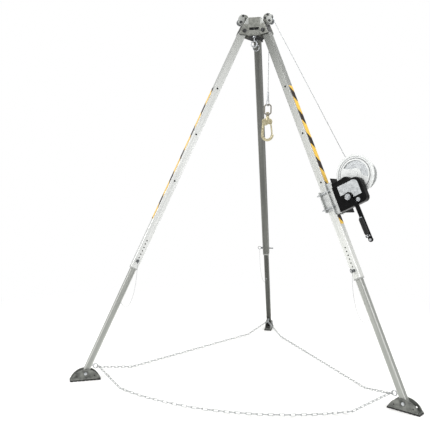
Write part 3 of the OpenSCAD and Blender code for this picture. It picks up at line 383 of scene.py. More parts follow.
# the guards over the pulleys are pressed from bright sheet, which handling keeps clean
GUARD = finish("bright_pressed_sheet", 0.3, 0.4, "#c3c5c4", "#d8dad8", None, 1.6, 0.05, 30)
# black oxide is a thin dark skin that goes grey where a spanner turns
OXIDE = finish("black_oxide_steel", 0.5, 0.45, "#2c2d2e", "#414243", "#77797a", 1.0, 0.05, 8)
# grips and caps are injection moulded, with a spark-eroded texture, and the caps get a stain of their own
PLASTIC = finish("moulded_black_nylon", 0.0, 0.5, "#0d0e0e", "#161717", "#3a3b3c", 0.9, 0.1, 20, shine=0.3)
CAP = finish("moulded_nylon_cap", 0.0, 0.5, "#0d0e0e", "#161717", "#3a3b3c", 0.9, 0.1, 20, shine=0.3)
# stove enamel on a die casting is smooth, with a slight orange peel
ENAMEL = finish("black_stove_enamel", 0.0, 0.3, "#050506", "#0b0b0c", "#3a3b3c", 3.5, 0.06, 30, shine=0.12)
# silver paint on the drum holds fine flakes
SILVER = finish("silver_drum_paint", 0.1, 0.42, "#d9dbda", "#e6e8e7", None, 0.9, 0.03, 30)
# cut teeth and turned faces are bare, oiled steel
GEAR = finish("oiled_turned_steel", 0.9, 0.4, "#5c5f61", "#787b7d", "#9b9d9e", 0.8, 0.05, 10)
# the shoes are painted dark grey over rolled plate, and scrape on the ground
SHOE = finish("grey_painted_plate", 0.35, 0.55, "#484a47", "#858782", "#b0b2ae", 2.2, 0.25, 34, 2.2)
# ribbed rubber picks up dust, which greys it
RUBBER = finish("ribbed_rubber", 0.0, 0.85, "#1b1b1b", "#2c2b2a", "#3f3d3b", 1.5, 0.2, 25)
# chromate over zinc runs from straw to olive
CHROMATE = finish("yellow_chromate_zinc", 0.55, 0.38, "#9b9273", "#c9c1a1", "#dbd7c6", 1.4, 0.08, 11, 1.6)
# the label plate is brushed, and left bare
PLATE = finish("brushed_bare_plate", 0.6, 0.36, "#b0b3b5", "#c6c9ca", None, 0.7, 0.04, 22)
# wire rope and links carry a dull zinc coat
WIRE = finish("galvanised_wire", 0.8, 0.4, "#9b9ea0", "#b9bcbd", "#cfd1d1", 0.8, 0.03, 10)
LINK = finish("galvanised_link", 0.75, 0.4, "#a0a3a4", "#c2c4c4", "#d6d8d7", 1.0, 0.05, 9)
print("materials so far", len(bpy.data.materials))

# %% [markdown]
# ## Colour by place: the head
# Some solids carry more than one look, and places in the part's frame pick out the regions. The head's
# underside and the recesses of its panels get a painted shade, black and near black.
# Its ears are coloured lighter.

# %% Painted shade and ears of the head
HEAD_BOTTOM, PANELS, PANEL_OUT, EARS_OUT, EARS_UP, EAR_SOFT = 72, (270, 30, 150), 68, 80, 8, 3
RECESS_FROM, RECESS_TO, RECESS_HALF, RECESS_FLOOR, RECESS_SOFT, MARGIN = 39, 55, 34, 58, 0.6, 1
# cosines of the slope: from where a face counts as underside, and one that no face reaches
DOWNWARD, PAST_DOWN, DOWN_SOFT = 0.7, 2, 0.1
tree = CAST.node_tree
place = put(tree, "ShaderNodeTexCoord").outputs["Object"]
normal = put(tree, "ShaderNodeNewGeometry").outputs["True Normal"]
# painted shade: faces that point down are painted black
stain_and_painted_light(CAST, slab(tree, normal, (0, 0, -1), DOWNWARD, PAST_DOWN, DOWN_SOFT), "#0b0b0b")
head_foot = (0, AXIS_Y, TOP["rear"].z - HEAD_BOTTOM * MM)
centred = put(tree, "ShaderNodeVectorMath", {0: place, 1: head_foot}, operation="SUBTRACT").outputs[0]
for panel in PANELS:
    cosine, sine = math.cos(math.radians(panel)), math.sin(math.radians(panel))
    limits = (((cosine, sine, 0), RECESS_FLOOR - 2 * MARGIN, PANEL_OUT - MARGIN),
              ((-sine, cosine, 0), -RECESS_HALF - MARGIN, RECESS_HALF + MARGIN),
              ((0, 0, 1), RECESS_FROM - MARGIN, RECESS_TO + MARGIN))
    recess = 1.0
    for axis, low, high in limits:
        part = slab(tree, centred, axis, low * MM, high * MM, RECESS_SOFT * MM)
        recess = put(tree, "ShaderNodeMath", {0: recess, 1: part}, operation="MULTIPLY").outputs[0]
    # painted shade in the panel's recess
    stain_and_painted_light(CAST, recess, "#1c1c1b")
level_part = put(tree, "ShaderNodeVectorMath", {0: centred, 1: (1, 1, 0)}, operation="MULTIPLY").outputs[0]
off_axis = put(tree, "ShaderNodeVectorMath", {0: level_part}, operation="LENGTH").outputs["Value"]
beyond = between(tree, off_axis, EARS_OUT * MM, OPEN_END, EAR_SOFT * MM)
above = slab(tree, centred, (0, 0, 1), (HEAD_BOTTOM + EARS_UP) * MM, OPEN_END, EAR_SOFT * MM)
ears = put(tree, "ShaderNodeMath", {0: beyond, 1: above}, operation="MULTIPLY").outputs[0]
stain_and_painted_light(CAST, ears, "#b4b6b3")
print("stain_and_painted_light", CAST.name)

# %% [markdown]
# ## Colour by place: the front legs
# A painted shade darkens the front legs toward the head and fades out down each leg. A black film guards the
# edge at the top of the outer face.

# %% Painted shade and edge guard of the front legs
# painted shade: for each front leg, how far down it fades out in millimetres, and its colour at the top
PAINTED_TOP_SHADE = {"left": (900, "#a0a29e"), "right": (1600, "#5a5c58")}
GUARD_DOWN, GUARD_SOFT, GUARD_SKIN = 72, 3, 0.6
for leg, (shade_down, shade) in PAINTED_TOP_SHADE.items():
    tree = OUTER[leg].node_tree
    place = put(tree, "ShaderNodeTexCoord").outputs["Object"]
    local = put(tree, "ShaderNodeVectorMath", {0: place, 1: tuple(TOP[leg])}, operation="SUBTRACT").outputs[0]
    down = put(tree, "ShaderNodeVectorMath", {0: local, 1: tuple(-UPWARD[leg])}, operation="DOT_PRODUCT")
    fade = put(tree, "ShaderNodeMapRange",
               {"Value": down.outputs["Value"], "From Max": shade_down * MM, "To Min": 1.0, "To Max": 0.0})
    stain_and_painted_light(OUTER[leg], fade.outputs["Result"], shade)
    outer = slab(tree, local, OUTWARD[leg], (OUTER_HALF - GUARD_SKIN) * MM, OPEN_END, SKIN_SOFT * MM)
    high = between(tree, down.outputs["Value"], -OPEN_END, GUARD_DOWN * MM, GUARD_SOFT * MM)
    guard = put(tree, "ShaderNodeMath", {0: outer, 1: high}, operation="MULTIPLY").outputs[0]
    stain_and_painted_light(OUTER[leg], guard, "#161616")
print("toned", [OUTER[leg].name for leg in PAINTED_TOP_SHADE])

# %% [markdown]
# ## Colour by place: bushes and drum
# The caps at a leg's top are black, but the guide bush at the outer tube's lower end, which is in the same
# node, is a pale one. The drum's side disc gets a painted shade in the groove round its middle and a fainter
# one in a line near its rim, which go by the distance from the drum's axis.

# %% Bush colour and painted shade on the drum
BUSH_BELOW, BUSH_SOFT, DRUM_OUT, DRUM_DOWN = 1500, 10, 243, 1266
DISC_SHADE_LINES, LINE_SOFT = ((96.5, 101.5, "#7f8182"), (109.5, 112, "#aeb0b0")), 0.5
tree = CAP.node_tree
place = put(tree, "ShaderNodeTexCoord").outputs["Object"]
stain_and_painted_light(CAP, slab(tree, place, (0, 0, 1), -OPEN_END, BUSH_BELOW * MM, BUSH_SOFT * MM), "#a9aaa8")
drum = on_leg("right", DRUM_OUT, 0, DRUM_DOWN)
tree = SILVER.node_tree
place = put(tree, "ShaderNodeTexCoord").outputs["Object"]
local = put(tree, "ShaderNodeVectorMath", {0: place, 1: tuple(drum)}, operation="SUBTRACT").outputs[0]
swept = put(tree, "ShaderNodeVectorMath", {0: local, 1: tuple(ACROSS["right"])}, operation="CROSS_PRODUCT")
radius = put(tree, "ShaderNodeVectorMath", {0: swept.outputs[0]}, operation="LENGTH").outputs["Value"]
# painted shade in the disc's groove and along the ring near its rim
for low, high, code in DISC_SHADE_LINES:
    stain_and_painted_light(SILVER, between(tree, radius, low * MM, high * MM, LINE_SOFT * MM), code)
print("stain_and_painted_light", CAP.name, SILVER.name)

# %% [markdown]
# ## Finishes on the solids
# A solid whose shape is right stays as it is and only gets its finish. The table goes by the node's name,
# without the leg it belongs to.

# %% Give each solid its finish
NODE_FINISH = {
    "head_casting": CAST, "head_bolts": OXIDE, "pulley_guards": GUARD, "eyebolt_front": ZINC,
    "eyebolt_rear": ZINC, "pulley_left": ZINC, "pulley_right": ZINC, "leg_caps": CAP, "leg_fittings": ZINC,
    "lock_pin": GEAR, "shoe": SHOE, "sole": RUBBER, "chain_end": LINK, "chain_run": LINK, "pin_tether": WIRE,
    "lift_cable": WIRE, "winch_cable": WIRE, "drum_cable": WIRE, "winch_bracket": SHEET, "winch_bolts": ZINC,
    "winch_gearbox": ENAMEL, "winch_label": PLATE, "winch_bosses": ZINC, "winch_drum": SILVER,
    "drum_gear": GEAR, "crank": ENAMEL, "crank_nut": ZINC, "grip_axle": ZINC, "crank_grip": PLASTIC,
    "cable_eye": ZINC, "hook_bail": BAIL, "hook_body": CHROMATE, "hook_gate": CHROMATE,
}
for name, solid in frame["nodes"].items():
    base, _, leg = name.rpartition("_")
    if base in ("outer_tube", "inner_tube"):
        look = (OUTER if base == "outer_tube" else INNER)[leg]
    elif base == "tape":
        look = TAPE[leg]
    else:
        look = NODE_FINISH.get(name) or NODE_FINISH[base]
    solid.data.materials.clear()
    solid.data.materials.append(look)
print("dressed", len(frame["nodes"]), "solids")

# %% [markdown]
# ## Cast and forged shapes
# A casting has no sharp edge: the mould gives each corner a small radius, and so does a forging die. Bevels
# on a solid with many crossing curves tend to tear, so a copy of the solid is rebuilt on a fine grid of
# cubes instead, and then relaxed a little. Flat faces stay flat, and corners and creases turn round.

# %% Rounded copies
WELD, RELAX_SHARE = 0.001, 0.5


def moulded(node, name, voxel, rounds):
    """A copy of a solid with rounded edges, which stands for it."""
    solid = frame["nodes"][node]
    merged = bmesh.new()
    merged.from_mesh(solid.data)
    bmesh.ops.remove_doubles(merged, verts=merged.verts, dist=WELD * MM)
    rough = bpy.data.meshes.new(name + "_rough")
    merged.to_mesh(rough)
    merged.free()
    blank = bpy.data.objects.new(name + "_rough", rough)
    bpy.context.scene.collection.objects.link(blank)
    cubes = blank.modifiers.new("cubes", "REMESH")
    cubes.mode, cubes.voxel_size, cubes.use_smooth_shade = "VOXEL", voxel * MM, True
    relax = blank.modifiers.new("relax", "SMOOTH")
    relax.factor, relax.iterations = RELAX_SHARE, rounds
    mesh = bpy.data.meshes.new_from_object(blank.evaluated_get(bpy.context.evaluated_depsgraph_get()))
    bpy.data.objects.remove(blank)
    mesh.materials.clear()
    mesh.materials.append(solid.data.materials[0])
    mesh.shade_smooth()
    piece = bpy.data.objects.new(name, mesh)
    bpy.context.scene.collection.objects.link(piece)
    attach(piece, solid["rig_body"])
    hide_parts(node)
    return piece


for node, name, voxel, rounds, slot in (
        ("head_casting", "cast_head", 1.7, 4, "cast_aluminium"),
        ("hook_body", "forged_hook", 1.2, 5, "yellow_zinc"),
        ("hook_bail", "forged_bail", 1.0, 3, "yellow_zinc"),
        ("winch_gearbox", "cast_gearbox", 2.0, 3, "black_enamel")):
    made = moulded(node, name, voxel, rounds)
    print(name, len(made.data.polygons), "faces")

# %% [markdown]
# ## Trees that grow along a path
# Chain links and the strands of a wire rope both follow a path, which is what Geometry Nodes do well: the
# path is a plain line of points, and the tree places or twists copies along it. The result is turned into
# an ordinary mesh, so that it can ride on a body and be exported.

# %% Helpers for trees
SOCKETS = {"Int": "NodeSocketInt", "Float": "NodeSocketFloat", "Material": "NodeSocketMaterial"}


def new_tree(name, inputs):
    """A geometry tree with named inputs, and the node that hands them in."""
    tree = bpy.data.node_groups.new(name, "GeometryNodeTree")
    tree.interface.new_socket("Geometry", in_out="INPUT", socket_type="NodeSocketGeometry")
    for label, kind in inputs.items():
        tree.interface.new_socket(label, in_out="INPUT", socket_type=SOCKETS[kind])
    tree.interface.new_socket("Geometry", in_out="OUTPUT", socket_type="NodeSocketGeometry")
    return tree, put(tree, "NodeGroupInput").outputs


def close_tree(tree, geometry, look):
    """Ends a tree: real faces, smooth, with their material."""
    whole = put(tree, "GeometryNodeRealizeInstances", {"Geometry": geometry}).outputs[0]
    smooth = put(tree, "GeometryNodeSetShadeSmooth", {0: whole}).outputs[0]
    done = put(tree, "GeometryNodeSetMaterial", {"Geometry": smooth, "Material": look}).outputs[0]
    put(tree, "NodeGroupOutput", {0: done})


def grow(tree, name, points, body=None, **values):
    """Runs a tree along a line of points and returns the finished piece."""
    line = bpy.data.meshes.new(name)
    line.from_pydata([tuple(p) for p in points], [(i, i + 1) for i in range(len(points) - 1)], [])
    carrier = bpy.data.objects.new(name + "_path", line)
    bpy.context.scene.collection.objects.link(carrier)
    modifier = carrier.modifiers.new("grow", "NODES")
    modifier.node_group = tree
    for item in tree.interface.items_tree:
        if item.in_out == "INPUT" and item.name in values:
            modifier[item.identifier] = values[item.name]
    mesh = bpy.data.meshes.new_from_object(carrier.evaluated_get(bpy.context.evaluated_depsgraph_get()))
    bpy.data.objects.remove(carrier)
    mesh.materials.clear()
    mesh.materials.append(values["Finish"])
    mesh.polygons.foreach_set("material_index", [0] * len(mesh.polygons))
    piece = bpy.data.objects.new(name, mesh)
    bpy.context.scene.collection.objects.link(piece)
    if body:
        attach(piece, body)
    return piece


def steps(count):
    """Shares from 0 to 1, in so many equal steps."""
    return [k / count for k in range(count + 1)]


def length_of(points):
    return sum((b - a).length for a, b in zip(points, points[1:]))


print("path helpers ready")

# %% [markdown]
# ## The ground chain
# Three runs of welded chain tie the feet together. A link is an oblong ring of round wire, and each is
# turned a quarter from the last. The tree samples the path at the middle of every link, lines the link up
# with the path, and adds the quarter turns. A link has few faces, because there are nearly two hundred.

# %% Chain tree
CHAIN_WIRE, CHAIN_WIDTH, CHAIN_INNER, LINK_MOST, END_LINKS = 4, 16, 33, 32.5, 9
# just under half the width, so that two round corners of a link don't quite meet
ROUND_END = 0.499
WIRE_SIDES, CORNER_STEPS = 6, 3


def chain_tree():
    tree, given = new_tree("chain_links", {"Links": "Int", "First": "Int", "Wire": "Float", "Width": "Float",
                                           "Inner": "Float", "Finish": "Material"})
    path = put(tree, "GeometryNodeMeshToCurve", {"Mesh": given["Geometry"]}).outputs[0]
    index = put(tree, "GeometryNodeInputIndex").outputs[0]
    middle = put(tree, "ShaderNodeMath", {0: index, 1: 0.5}, operation="ADD").outputs[0]
    share = put(tree, "ShaderNodeMath", {0: middle, 1: given["Links"]}, operation="DIVIDE").outputs[0]
    spot = put(tree, "GeometryNodeSampleCurve", {"Curves": path, "Factor": share}, mode="FACTOR")
    spots = put(tree, "GeometryNodePoints", {"Count": given["Links"], "Position": spot.outputs["Position"]})
    ahead = put(tree, "FunctionNodeAlignRotationToVector", {"Vector": spot.outputs["Tangent"]}, axis="X")
    level = put(tree, "FunctionNodeAlignRotationToVector",
                {"Rotation": ahead.outputs[0], "Vector": (0, 0, 1)}, axis="Z", pivot_axis="X")
    number = put(tree, "ShaderNodeMath", {0: index, 1: given["First"]}, operation="ADD").outputs[0]
    quarter = put(tree, "ShaderNodeMath", {0: number, 1: math.pi / 2}, operation="MULTIPLY").outputs[0]
    roll = put(tree, "FunctionNodeAxisAngleToRotation", {"Axis": (1, 0, 0), "Angle": quarter})
    turned = put(tree, "FunctionNodeRotateRotation",
                 {"Rotation": level.outputs[0], "Rotate By": roll.outputs[0]}, rotation_space="LOCAL")
    long = put(tree, "ShaderNodeMath", {0: given["Inner"], 1: given["Wire"]}, operation="ADD").outputs[0]
    wide = put(tree, "ShaderNodeMath", {0: given["Width"], 1: given["Wire"]}, operation="SUBTRACT").outputs[0]
    bend = put(tree, "ShaderNodeMath", {0: wide, 1: ROUND_END}, operation="MULTIPLY").outputs[0]
    thick = put(tree, "ShaderNodeMath", {0: given["Wire"], 1: 0.5}, operation="MULTIPLY").outputs[0]
    oblong = put(tree, "GeometryNodeCurvePrimitiveQuadrilateral", {"Width": long, "Height": wide})
    ring = put(tree, "GeometryNodeFilletCurve",
               {"Curve": oblong.outputs[0], "Count": CORNER_STEPS, "Radius": bend}, mode="POLY")
    round_wire = put(tree, "GeometryNodeCurvePrimitiveCircle", {"Resolution": WIRE_SIDES, "Radius": thick})
    link = put(tree, "GeometryNodeCurveToMesh",
               {"Curve": ring.outputs[0], "Profile Curve": round_wire.outputs[0]})
    links = put(tree, "GeometryNodeInstanceOnPoints",
                {"Points": spots.outputs[0], "Instance": link.outputs[0], "Rotation": turned.outputs[0]})
    close_tree(tree, links.outputs[0], given["Finish"])
    return tree


CHAIN = chain_tree()
LINK_SIZES = {"Wire": CHAIN_WIRE * MM, "Width": CHAIN_WIDTH * MM, "Inner": CHAIN_INNER * MM, "Finish": LINK}
print("chain tree with", len(CHAIN.nodes), "nodes")

# %% [markdown]
# ## Where the chain lies
# Each foot has an eye on its inner side. From it the chain drops to the floor over nine links or so, and
# then lies straight to the next foot, apart from the front run, which bows out toward the viewer on an arc. A
# run is made in halves, so that each half goes with its own leg when the tripod is folded.

# %% Chain places
ANKLE_HEIGHT, EYE_RING, EYE_WIRE, BOW_REACH = 48, 15, 6, 360
CHAIN_LIFT, EYE_OFF, EYE_UP = 7, 19, 62
LINK_Z = CHAIN_WIDTH / 2 + CHAIN_LIFT
ANKLE_DOWN = (TOP["rear"].z / MM - ANKLE_HEIGHT) / UPWARD["rear"].z
EYE_IN, EYE_DOWN = INNER_HALF + EYE_OFF, ANKLE_DOWN - EYE_UP
EYE_RADIUS = (on_leg("rear", -EYE_IN - 1.5 * EYE_RING, 0, EYE_DOWN).y - AXIS_Y) / MM
BOW_HALF = EYE_RADIUS * math.cos(math.radians(30))
BOW_RADIUS = (BOW_HALF ** 2 + BOW_REACH ** 2) / (2 * BOW_REACH)
BOW_TURN = 2 * math.atan(BOW_REACH / BOW_HALF)
FRONT = {("left", 1), ("right", -1)}


def run_place(leg, side, share):
    """A point of a half run on the floor, from its foot at 0 to the middle of the run at 1."""
    if (leg, side) in FRONT:
        turn = BOW_TURN * (1 - share)
        ahead = BOW_RADIUS * (1 - math.cos(turn)) - EYE_RADIUS / 2 - BOW_REACH
        return Vector((-side * BOW_RADIUS * math.sin(turn) * MM, AXIS_Y + MM * ahead, LINK_Z * MM))
    foot = in_plane(ANGLE[leg], EYE_RADIUS, 0, LINK_Z)
    return foot.lerp(in_plane(ANGLE[leg] + 60 * side, EYE_RADIUS / 2, 0, LINK_Z), share)


def eye_place(leg, turn):
    """A point in the wire of a foot's eye, so many degrees up from its inmost place."""
    turn = math.radians(turn)
    return on_leg(leg, -EYE_IN - EYE_RING * (0.5 + math.cos(turn)), 0, EYE_DOWN - EYE_RING * math.sin(turn))


print("eyes", round(EYE_RADIUS), "mm from the axis, bow of radius", round(BOW_RADIUS), "mm")

# %% Chain pieces
EYE_HIGH, EYE_LOW, EYE_SLACK, LANDING_SLACK = 30, -10, 1, 8
DROP_STEPS, RUN_STEPS = 8, 40
# a hair's breadth, so that a length of just so many links isn't counted as one more
HAIR = 1e-9
chain_links = 0
for leg in LEGS:
    for side, way in ((-1, "clockwise"), (1, "counter")):
        run_length = BOW_RADIUS * BOW_TURN if (leg, side) in FRONT else BOW_HALF
        landed = (END_LINKS * LINK_MOST - LANDING_SLACK) / run_length
        floor = run_place(leg, side, landed)
        hung = eye_place(leg, EYE_HIGH if (leg, side) in FRONT | {("rear", 1)} else EYE_LOW)
        hung -= (floor - hung).normalized() * (EYE_WIRE / 2 + EYE_SLACK) * MM
        hanging = math.ceil((floor - hung).length / (LINK_MOST * MM) - HAIR)
        lying = math.ceil((1 - landed) * run_length / LINK_MOST - HAIR) + (side < 0)
        drop = grow(CHAIN, f"chain_drop_{leg}_{way}", [hung.lerp(floor, t) for t in steps(DROP_STEPS)],
                    Links=hanging, First=0, **LINK_SIZES)
        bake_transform(drop)
        points = [run_place(leg, side, landed + (1 - landed) * t) for t in steps(RUN_STEPS)]
        run = grow(CHAIN, f"chain_run_{leg}_{way}", points, "leg_" + leg,
                   Links=lying, First=hanging, **LINK_SIZES)
        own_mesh(run)
        for piece, node in ((drop, "chain_end_"), (run, "chain_run_")):
            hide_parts(node + leg)
        chain_links += hanging + lying
print("chain links", chain_links)

# %% [markdown]
# ## Wire rope
# The cable is six strands laid round a core. Drawn as a plain rod it would look like bar stock up close,
# so the tree copies the path once for each strand and moves each copy out on a slow spiral. The lay of the
# spiral is about six times the cable's diameter.

# %% Rope tree
CABLE, LAY, ROPE_STRANDS, STEPS_PER_LAY = 4.8, 30, 6, 8


def rope_tree():
    tree, given = new_tree("wire_rope", {"Strands": "Int", "Step": "Float", "Lay": "Float", "Offset": "Float",
                                         "Strand": "Float", "Finish": "Material"})
    path = put(tree, "GeometryNodeMeshToCurve", {"Mesh": given["Geometry"]}).outputs[0]
    even = put(tree, "GeometryNodeResampleCurve", {"Curve": path, "Length": given["Step"]}, mode="LENGTH")
    copies = put(tree, "GeometryNodeDuplicateElements",
                 {"Geometry": even.outputs[0], "Amount": given["Strands"]}, domain="SPLINE")
    normal = put(tree, "GeometryNodeInputNormal").outputs[0]
    ahead = put(tree, "GeometryNodeInputTangent").outputs[0]
    beside = put(tree, "ShaderNodeVectorMath", {0: ahead, 1: normal}, operation="CROSS_PRODUCT").outputs[0]
    run = put(tree, "GeometryNodeSplineParameter").outputs["Length"]
    laid = put(tree, "ShaderNodeMath", {0: run, 1: given["Lay"]}, operation="DIVIDE").outputs[0]
    own = put(tree, "ShaderNodeMath",
              {0: copies.outputs["Duplicate Index"], 1: given["Strands"]}, operation="DIVIDE")
    turns = put(tree, "ShaderNodeMath", {0: laid, 1: own.outputs[0]}, operation="ADD").outputs[0]
    angle = put(tree, "ShaderNodeMath", {0: turns, 1: 2 * math.pi}, operation="MULTIPLY").outputs[0]
    pushes = []
    for wave, axis in (("COSINE", normal), ("SINE", beside)):
        amount = put(tree, "ShaderNodeMath", {0: angle}, operation=wave).outputs[0]
        sized = put(tree, "ShaderNodeMath", {0: amount, 1: given["Offset"]}, operation="MULTIPLY").outputs[0]
        push = put(tree, "ShaderNodeVectorMath", {0: axis, "Scale": sized}, operation="SCALE")
        pushes.append(push.outputs[0])
    shift = put(tree, "ShaderNodeVectorMath", dict(enumerate(pushes)), operation="ADD").outputs[0]
    moved = put(tree, "GeometryNodeSetPosition", {"Geometry": copies.outputs["Geometry"], "Offset": shift})
    wire = put(tree, "GeometryNodeCurvePrimitiveCircle",
               {"Resolution": WIRE_SIDES, "Radius": given["Strand"]})
    strands = put(tree, "GeometryNodeCurveToMesh",
                  {"Curve": moved.outputs[0], "Profile Curve": wire.outputs[0], "Fill Caps": True})
    close_tree(tree, strands.outputs[0], given["Finish"])
    return tree


ROPE = rope_tree()
ROPE_SIZES = {"Strands": ROPE_STRANDS, "Step": LAY / STEPS_PER_LAY * MM, "Lay": LAY * MM,
              "Offset": CABLE / 3 * MM, "Strand": CABLE / 6 * MM, "Finish": WIRE}
print("rope tree with", len(ROPE.nodes), "nodes")

# %% [markdown]
# ## The cable's way
# The cable leaves the drum on its inner side, runs up along the leg, goes over the pulley at the head and
# hangs down to the hook. The points are those of the CAD model: two straight lines, an arc, and a coil.
# The hanging part shortens when the hook is raised, so it is a piece of its own.

# %% Cable route
RIGHT, CABLE_SIDE = 330, 50
PULLEY_OUT, PULLEY_UP, PULLEY_RADIUS = 101.5, 38, 18
PULLEY = (PULLEY_OUT, TOP["right"].z / MM + PULLEY_UP)
DRUM_CORE, CABLE_TURNS, LANE_GAP, CORE_GAP, END_GAP = 40, 13, 0.5, 0.15, 0.3
WIND_PITCH, WOUND = CABLE + LANE_GAP, DRUM_CORE + CABLE / 2 + CORE_GAP
drum_r, drum_z = math.hypot(drum.x, drum.y - AXIS_Y) / MM, drum.z / MM
span = math.hypot(drum_r - PULLEY[0], drum_z - PULLEY[1])
slope = math.atan2(drum_r - PULLEY[0], PULLEY[1] - drum_z)
lean_of_cable = slope - math.asin((PULLEY_RADIUS + WOUND) / span)
aside = (math.cos(lean_of_cable), math.sin(lean_of_cable))
upper = in_plane(RIGHT, PULLEY[0] + PULLEY_RADIUS * aside[0], CABLE_SIDE,
                 PULLEY[1] + PULLEY_RADIUS * aside[1])
lower = in_plane(RIGHT, drum_r - WOUND * aside[0], CABLE_SIDE, drum_z - WOUND * aside[1])
print("cable from drum to pulley", round((upper - lower).length, 3), "m")

# %% Straight cable
STRAIGHT_STEPS = 40
end_gap = (lower - upper).normalized() * END_GAP * MM
up_route = [(upper + end_gap).lerp(lower - end_gap, t) for t in steps(STRAIGHT_STEPS)]
winch_rope = grow(ROPE, "winch_rope", up_route, **ROPE_SIZES)
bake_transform(winch_rope)
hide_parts("winch_cable")
drop_out = PULLEY[0] - PULLEY_RADIUS
hang_end = min(v.co.z for v in frame["nodes"]["lift_cable"].data.vertices) / MM
hang_route = [in_plane(RIGHT, drop_out, CABLE_SIDE, PULLEY[1] + (hang_end - PULLEY[1]) * t)
              for t in steps(STRAIGHT_STEPS)]
hang_rope = grow(ROPE, "hanging_rope", hang_route, "head", **ROPE_SIZES)
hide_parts("lift_cable")
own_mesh(hang_rope)
print("hanging", round(length_of(hang_route), 3), "m")

# %% Bent and wound cable
TURN_STEPS = 24
over_route = []
for t in steps(TURN_STEPS):
    a = lean_of_cable + (math.pi - lean_of_cable) * t
    over_route.append(in_plane(RIGHT, PULLEY[0] + PULLEY_RADIUS * math.cos(a), CABLE_SIDE,
                               PULLEY[1] + PULLEY_RADIUS * math.sin(a)))
over_rope = grow(ROPE, "pulley_rope", over_route, "head", **ROPE_SIZES)
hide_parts("lift_cable")
wind_from = math.pi + lean_of_cable - math.acos(UPWARD["right"].z)
coil_route = []
for k in range(CABLE_TURNS * TURN_STEPS + 1):
    a = wind_from + k / TURN_STEPS * 2 * math.pi
    coil_route.append(on_leg("right", DRUM_OUT + WOUND * math.cos(a),
                             CABLE_SIDE - k / TURN_STEPS * WIND_PITCH, DRUM_DOWN - WOUND * math.sin(a)))
coil_rope = grow(ROPE, "wound_rope", coil_route, "drum", **ROPE_SIZES)
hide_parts("drum_cable")
print("coil", round(length_of(coil_route), 2), "m in", CABLE_TURNS, "turns")

# %% [markdown]
# ## Behind the half moon
# The side disc of the drum has a half-moon window. The gear sits close behind it, and its web is the grey
# plate that shows through. The CAD gear is only the toothed ring, so the web is added as a thin plate with a
# hole for the core.

# %% Gear web
WEB_ACROSS, WEB_INNER, WEB_OUTER, WEB_SIDES = (-35, -33), 41, 97, 72
corners, faces = [], []
for k in range(WEB_SIDES):
    a = 2 * math.pi * k / WEB_SIDES
    for size in (WEB_INNER, WEB_OUTER):
        corners += [on_leg("right", DRUM_OUT + size * math.cos(a), w, DRUM_DOWN - size * math.sin(a))
                    for w in WEB_ACROSS]
    i, j = 4 * k, 4 * ((k + 1) % WEB_SIDES)
    faces += [(i + n, j + n, j + m, i + m) for m, n in ((0, 2), (2, 3), (3, 1), (1, 0))]
plate = bpy.data.meshes.new("gear_web")
plate.from_pydata([tuple(p) for p in corners], [], faces)
plate.materials.append(PLATE)
web = bpy.data.objects.new("gear_web", plate)
bpy.context.scene.collection.objects.link(web)
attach(web, "drum")
print("web of", len(plate.polygons), "faces")

# %% [markdown]
# ## Pin tethers
# A thin coated wire keeps each lock pin from being lost. It hangs from the pin's ring under its own weight
# and bends back to a rivet on the inner tube, so its path is one smooth curve that four points shape.
# The rope tree makes it too, as a single strand.

# %% Tethers
PIN_DOWN, PIN_HEAD, TETHER, TETHER_STEPS, TETHER_STEP = 1800, 28.4, 2, 32, 8
RING_OUT, RING_DOWN, RIVET_OUT, RIVET_SIDE, RIVET_DOWN = 27, 16.2, 7, 4, 300
HANG, BEND_BACK = 190, Vector((-75, 22, -62))
PLUMB = Vector((-math.sin(math.acos(UPWARD["rear"].z)), 0, -UPWARD["rear"].z))
tether_a = Vector((0, PIN_HEAD + RING_OUT, -PIN_DOWN - RING_DOWN))
tether_d = Vector((-INNER_HALF - RIVET_OUT, RIVET_SIDE, -PIN_DOWN - RIVET_DOWN))
tether_b = tether_a + HANG * PLUMB
tether_c = tether_d + BEND_BACK
for leg in LEGS:
    hand = -1 if leg == "right" else 1
    route = []
    for w in steps(TETHER_STEPS):
        p = ((1 - w) ** 3 * tether_a + 3 * w * (1 - w) ** 2 * tether_b + 3 * w * w * (1 - w) * tether_c
             + w ** 3 * tether_d)
        route.append(on_leg(leg, p.x, hand * p.y, -p.z))
    wire = grow(ROPE, "tether_" + leg, route, Strands=1, Step=TETHER_STEP * MM, Lay=1.0, Offset=0.0,
                Strand=TETHER / 2 * MM, Finish=WIRE)
    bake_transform(wire)
    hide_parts("pin_tether_" + leg)
print("tethers", round(length_of(route), 3), "m each")

# %% [markdown]
# ## Floor and light
# The object stands on a pale floor in soft studio light. Bare metal shows what is around it, so the world
# is brighter above than below, and large soft lamps give the tubes a light side and a darker one. The floor
# near the object is a plain matte surface, which takes the shadow, and fades into white further out.

# %% Floor
FLOOR_HALF, FLOOR_DROP, FADE_FROM, FADE_TO = 12.0, 0.0005, 1.7, 3.4
FLOOR_CORNERS = ((-1, -1), (1, -1), (1, 1), (-1, 1))
sheet = bpy.data.meshes.new("studio_floor")
sheet.from_pydata([(x * FLOOR_HALF, y * FLOOR_HALF, -FLOOR_DROP) for x, y in FLOOR_CORNERS],
                  [], [(0, 1, 2, 3)])
ground = bpy.data.objects.new("studio_floor", sheet)
bpy.context.scene.collection.objects.link(ground)


def seen_directly(tree):
    """1 where the eye, a mirror or glass looks, and 0 where only light bounces."""
    path = put(tree, "ShaderNodeLightPath").outputs
    first = put(tree, "ShaderNodeMath",
                {0: path["Is Camera Ray"], 1: path["Is Glossy Ray"]}, operation="MAXIMUM")
    both = put(tree, "ShaderNodeMath",
               {0: first.outputs[0], 1: path["Is Transmission Ray"]}, operation="MAXIMUM")
    return both.outputs[0]


